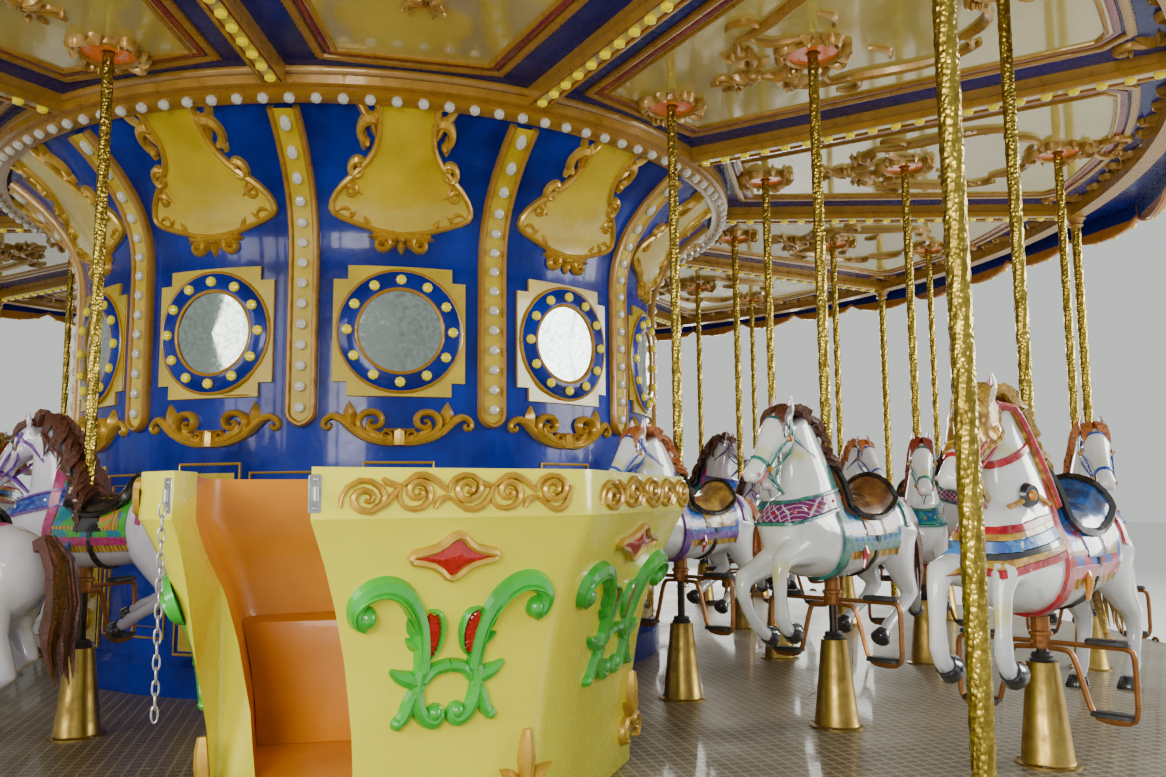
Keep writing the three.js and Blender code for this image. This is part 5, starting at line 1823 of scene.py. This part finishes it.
CRIMSON = cloth_paint("crimson_strap_paint", (0.5, 0.01, 0.02), (0.34, 0.006, 0.02))
MAGENTA = cloth_paint("magenta_strap_paint", (0.48, 0.02, 0.17), (0.36, 0.01, 0.12))
GOLD_PLATE = armour_paint("embossed_gold_plate")
LATTICE = lattice_paint("purple_lattice_collar", (0.17, 0.012, 0.13), (0.66, 0.56, 0.66))

# Each dress: coat, hair, saddle, blanket, border, patch, collar, bridle, stones, and what the figure wears
DRESSES = {
    "lattice": (WHITE_COAT, "brown", SADDLE_BRONZE,
                cloth_paint("teal_blue_blanket", (0.02, 0.05, 0.42), (0.01, 0.3, 0.3), 110.0),
                TEAL, cloth_paint("green_purple_patch", (0.4, 0.3, 0.05), (0.22, 0.03, 0.34)),
                LATTICE, TEAL, "red", "plain"),
    "armour": (WHITE_COAT, "gold", SADDLE_BLUE,
               cloth_paint("crimson_blue_blanket", (0.52, 0.02, 0.05), (0.03, 0.1, 0.55), 42.0),
               CRIMSON, cloth_paint("gold_blanket_patch", (0.62, 0.38, 0.05), (0.4, 0.2, 0.03)),
               cloth_paint("sky_blue_band", (0.06, 0.26, 0.66), (0.02, 0.1, 0.42)), CRIMSON, "amber",
               "armour"),
    "orange": (WHITE_COAT, "orange", SADDLE_YELLOW,
               cloth_paint("blue_blanket", (0.01, 0.05, 0.4), (0.02, 0.16, 0.5)),
               PURPLE, cloth_paint("purple_gold_patch", (0.25, 0.03, 0.36), (0.58, 0.38, 0.05)),
               ROYAL, ROYAL, "red", "plain"),
    "magenta": (LILAC_COAT, "brown", BLACK_GLOSS,
                cloth_paint("green_teal_blanket", (0.06, 0.42, 0.03), (0.01, 0.24, 0.34), 34.0),
                MAGENTA, cloth_paint("green_orange_patch", (0.12, 0.52, 0.03), (0.82, 0.18, 0.01)),
                ROYAL, PURPLE, "blue", "full"),
    "flower": (WHITE_COAT, "red", SADDLE_YELLOW,
               cloth_paint("green_blanket", (0.01, 0.2, 0.12), (0.02, 0.08, 0.36)),
               CRIMSON, cloth_paint("yellow_red_patch", (0.72, 0.46, 0.03), (0.55, 0.02, 0.02)),
               cloth_paint("sea_green_collar", (0.01, 0.12, 0.28), (0.02, 0.28, 0.18)), TEAL, "amber",
               "plain"),
}
DRESS_ORDER = {
    "inner": "orange flower magenta lattice armour orange flower magenta lattice magenta".split(),
    "middle": "lattice flower orange magenta lattice orange armour flower magenta magenta".split(),
    "outer": "armour orange lattice flower magenta armour lattice orange flower lattice".split(),
}


def horse_figure(gait, wears):
    """A whole horse with its hair and dress."""
    bare = horse_form(gait)
    skin = Skin(bare)
    dress = armour(skin, gait) if wears == "armour" else collar(skin)
    return join(bare, mane_and_tail(gait, int(wears == "full")), hooves(gait),
                face_details().moved(head_move(gait)), saddle(skin), blanket(skin), bridle(skin, gait),
                dress)


def placed_copy(name, mould, finishes, node):
    """A second piece of a form already made, in its own finishes."""
    made = added(name, mould.data.copy())
    for i, finish in enumerate(finishes):
        made.data.materials[i] = finish
    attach(made, node)
    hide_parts(node)
    return made


def build_horses():
    moulds = {}
    for row, (radius, scale) in ROWS.items():
        gait = ROW_GAITS[row]
        for order, bay in enumerate(HORSE_BAYS):
            node = f"horse_{row}_{bay:02d}"
            foot = Matrix.Translation((*turned(radius, bay * BAY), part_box(node)[0].z + 0.41))
            stand = foot @ turn(bay * BAY + pi)
            dress = DRESSES[DRESS_ORDER[row][order]]
            coat, hair, seat, cloth, border, patch, strap, rein, stone, wears = dress
            finishes = [coat, HAIRS[hair], HOOF_GLOSS, seat, BLACK_GLOSS, cloth, border, patch, FRINGE_GOLD,
                        strap, rein, STONES[stone], PINK_PAINT, GOLD_PLATE]
            for part, key, form, looks, slot, size, crease in (
                    ("figure", (gait is GATHERED, wears), lambda: horse_figure(gait, wears), finishes,
                     "horse_gloss", scale, 50),
                    ("pole", "pole", pole_and_rod, [BRASS, DARK_ROD, COPPER], "brass_tube", 1.0, 14),
                    ("foot_rests", "rests", foot_rests, [COPPER, BLACK_RUBBER], "gold_paint", 1.0, 50)):
                if key in moulds:
                    made = placed_copy(f"{node}_{part}", moulds[key], looks, node)
                else:
                    made = piece(f"{node}_{part}", form(), looks, (node,), crease, node)
                    moulds[key] = made
                made.matrix_world = stand @ Matrix.Scale(size, 4)


# Camera and light

def look_at():
    """The photograph's viewpoint: just inside the deck's edge, a little above the horses' backs."""
    place = Vector((-0.372, -7.53, DECK + 1.04))
    heading, rise, roll = radians(14.47), radians(6.42), radians(-0.5)
    forward = Vector((sin(heading) * cos(rise), cos(heading) * cos(rise), sin(rise)))
    level = Vector((cos(heading), -sin(heading), 0))
    upward = level.cross(forward)
    right = level * cos(roll) + upward * sin(roll)
    top = upward * cos(roll) - level * sin(roll)
    lens = bpy.data.cameras.new("camera")
    lens.sensor_width = 36.0
    lens.lens = 30.43
    lens.clip_start = 0.05
    camera = added("camera", lens)
    camera.matrix_world = Matrix((
        (right.x, top.x, -forward.x, place.x), (right.y, top.y, -forward.y, place.y),
        (right.z, top.z, -forward.z, place.z), (0, 0, 0, 1)))
    bpy.context.scene.camera = camera


def soft_box(name, place, target, width, height, power, colour=(1, 1, 1)):
    light = bpy.data.lights.new(name, "AREA")
    light.shape = "RECTANGLE"
    light.size = width
    light.size_y = height
    light.energy = power
    light.color = colour
    made = added(name, light)
    made.location = place
    made.rotation_euler = (Vector(target) - Vector(place)).to_track_quat("-Z", "Y").to_euler()


def studio():
    """Pale surroundings, four soft lights and a floor."""
    world = bpy.data.worlds.new("studio")
    bpy.context.scene.world = world
    world.use_nodes = True
    sky = world.node_tree.nodes["Background"]
    sky.inputs["Color"].default_value = (0.95, 1.0, 0.96, 1.0)
    sky.inputs["Strength"].default_value = 0.74
    soft_box("window_left", (-9, -9, 4.2), (0, 0, 1.8), 5, 4, 620, (1.0, 0.98, 0.9))
    soft_box("window_right", (11, -4, 4.0), (0, 0, 1.8), 5, 4, 900, (1.0, 1.0, 0.95))
    soft_box("window_back", (7, 11, 4.0), (0, 0, 2.0), 6, 4, 800, (0.97, 1.0, 0.95))
    soft_box("camera_fill", (-2.2, -9.3, 2.6), (0.8, -2, 1.6), 2, 1.5, 190, (1.0, 0.97, 0.86))
    floor = grid([[(x, y, 0.0) for y in (-40, 40)] for x in (-40, 40)])
    mesh = bpy.data.meshes.new("floor")
    mesh.from_pydata(floor.points.tolist(), [], floor.faces)
    pale = Finish("pale_floor", roughness=0.7)
    pale.set("Base Color", pale.mix(pale.noise(0.4, 2.0) * 0.3, (0.8, 0.8, 0.79), (0.74, 0.74, 0.73)))
    mesh.materials.append(pale.material)
    added("floor", mesh)


look_at()
studio()
build_drum()
build_deck()
build_roof()
build_chariot("front", 0)
build_chariot("rear", 6)
build_horses()
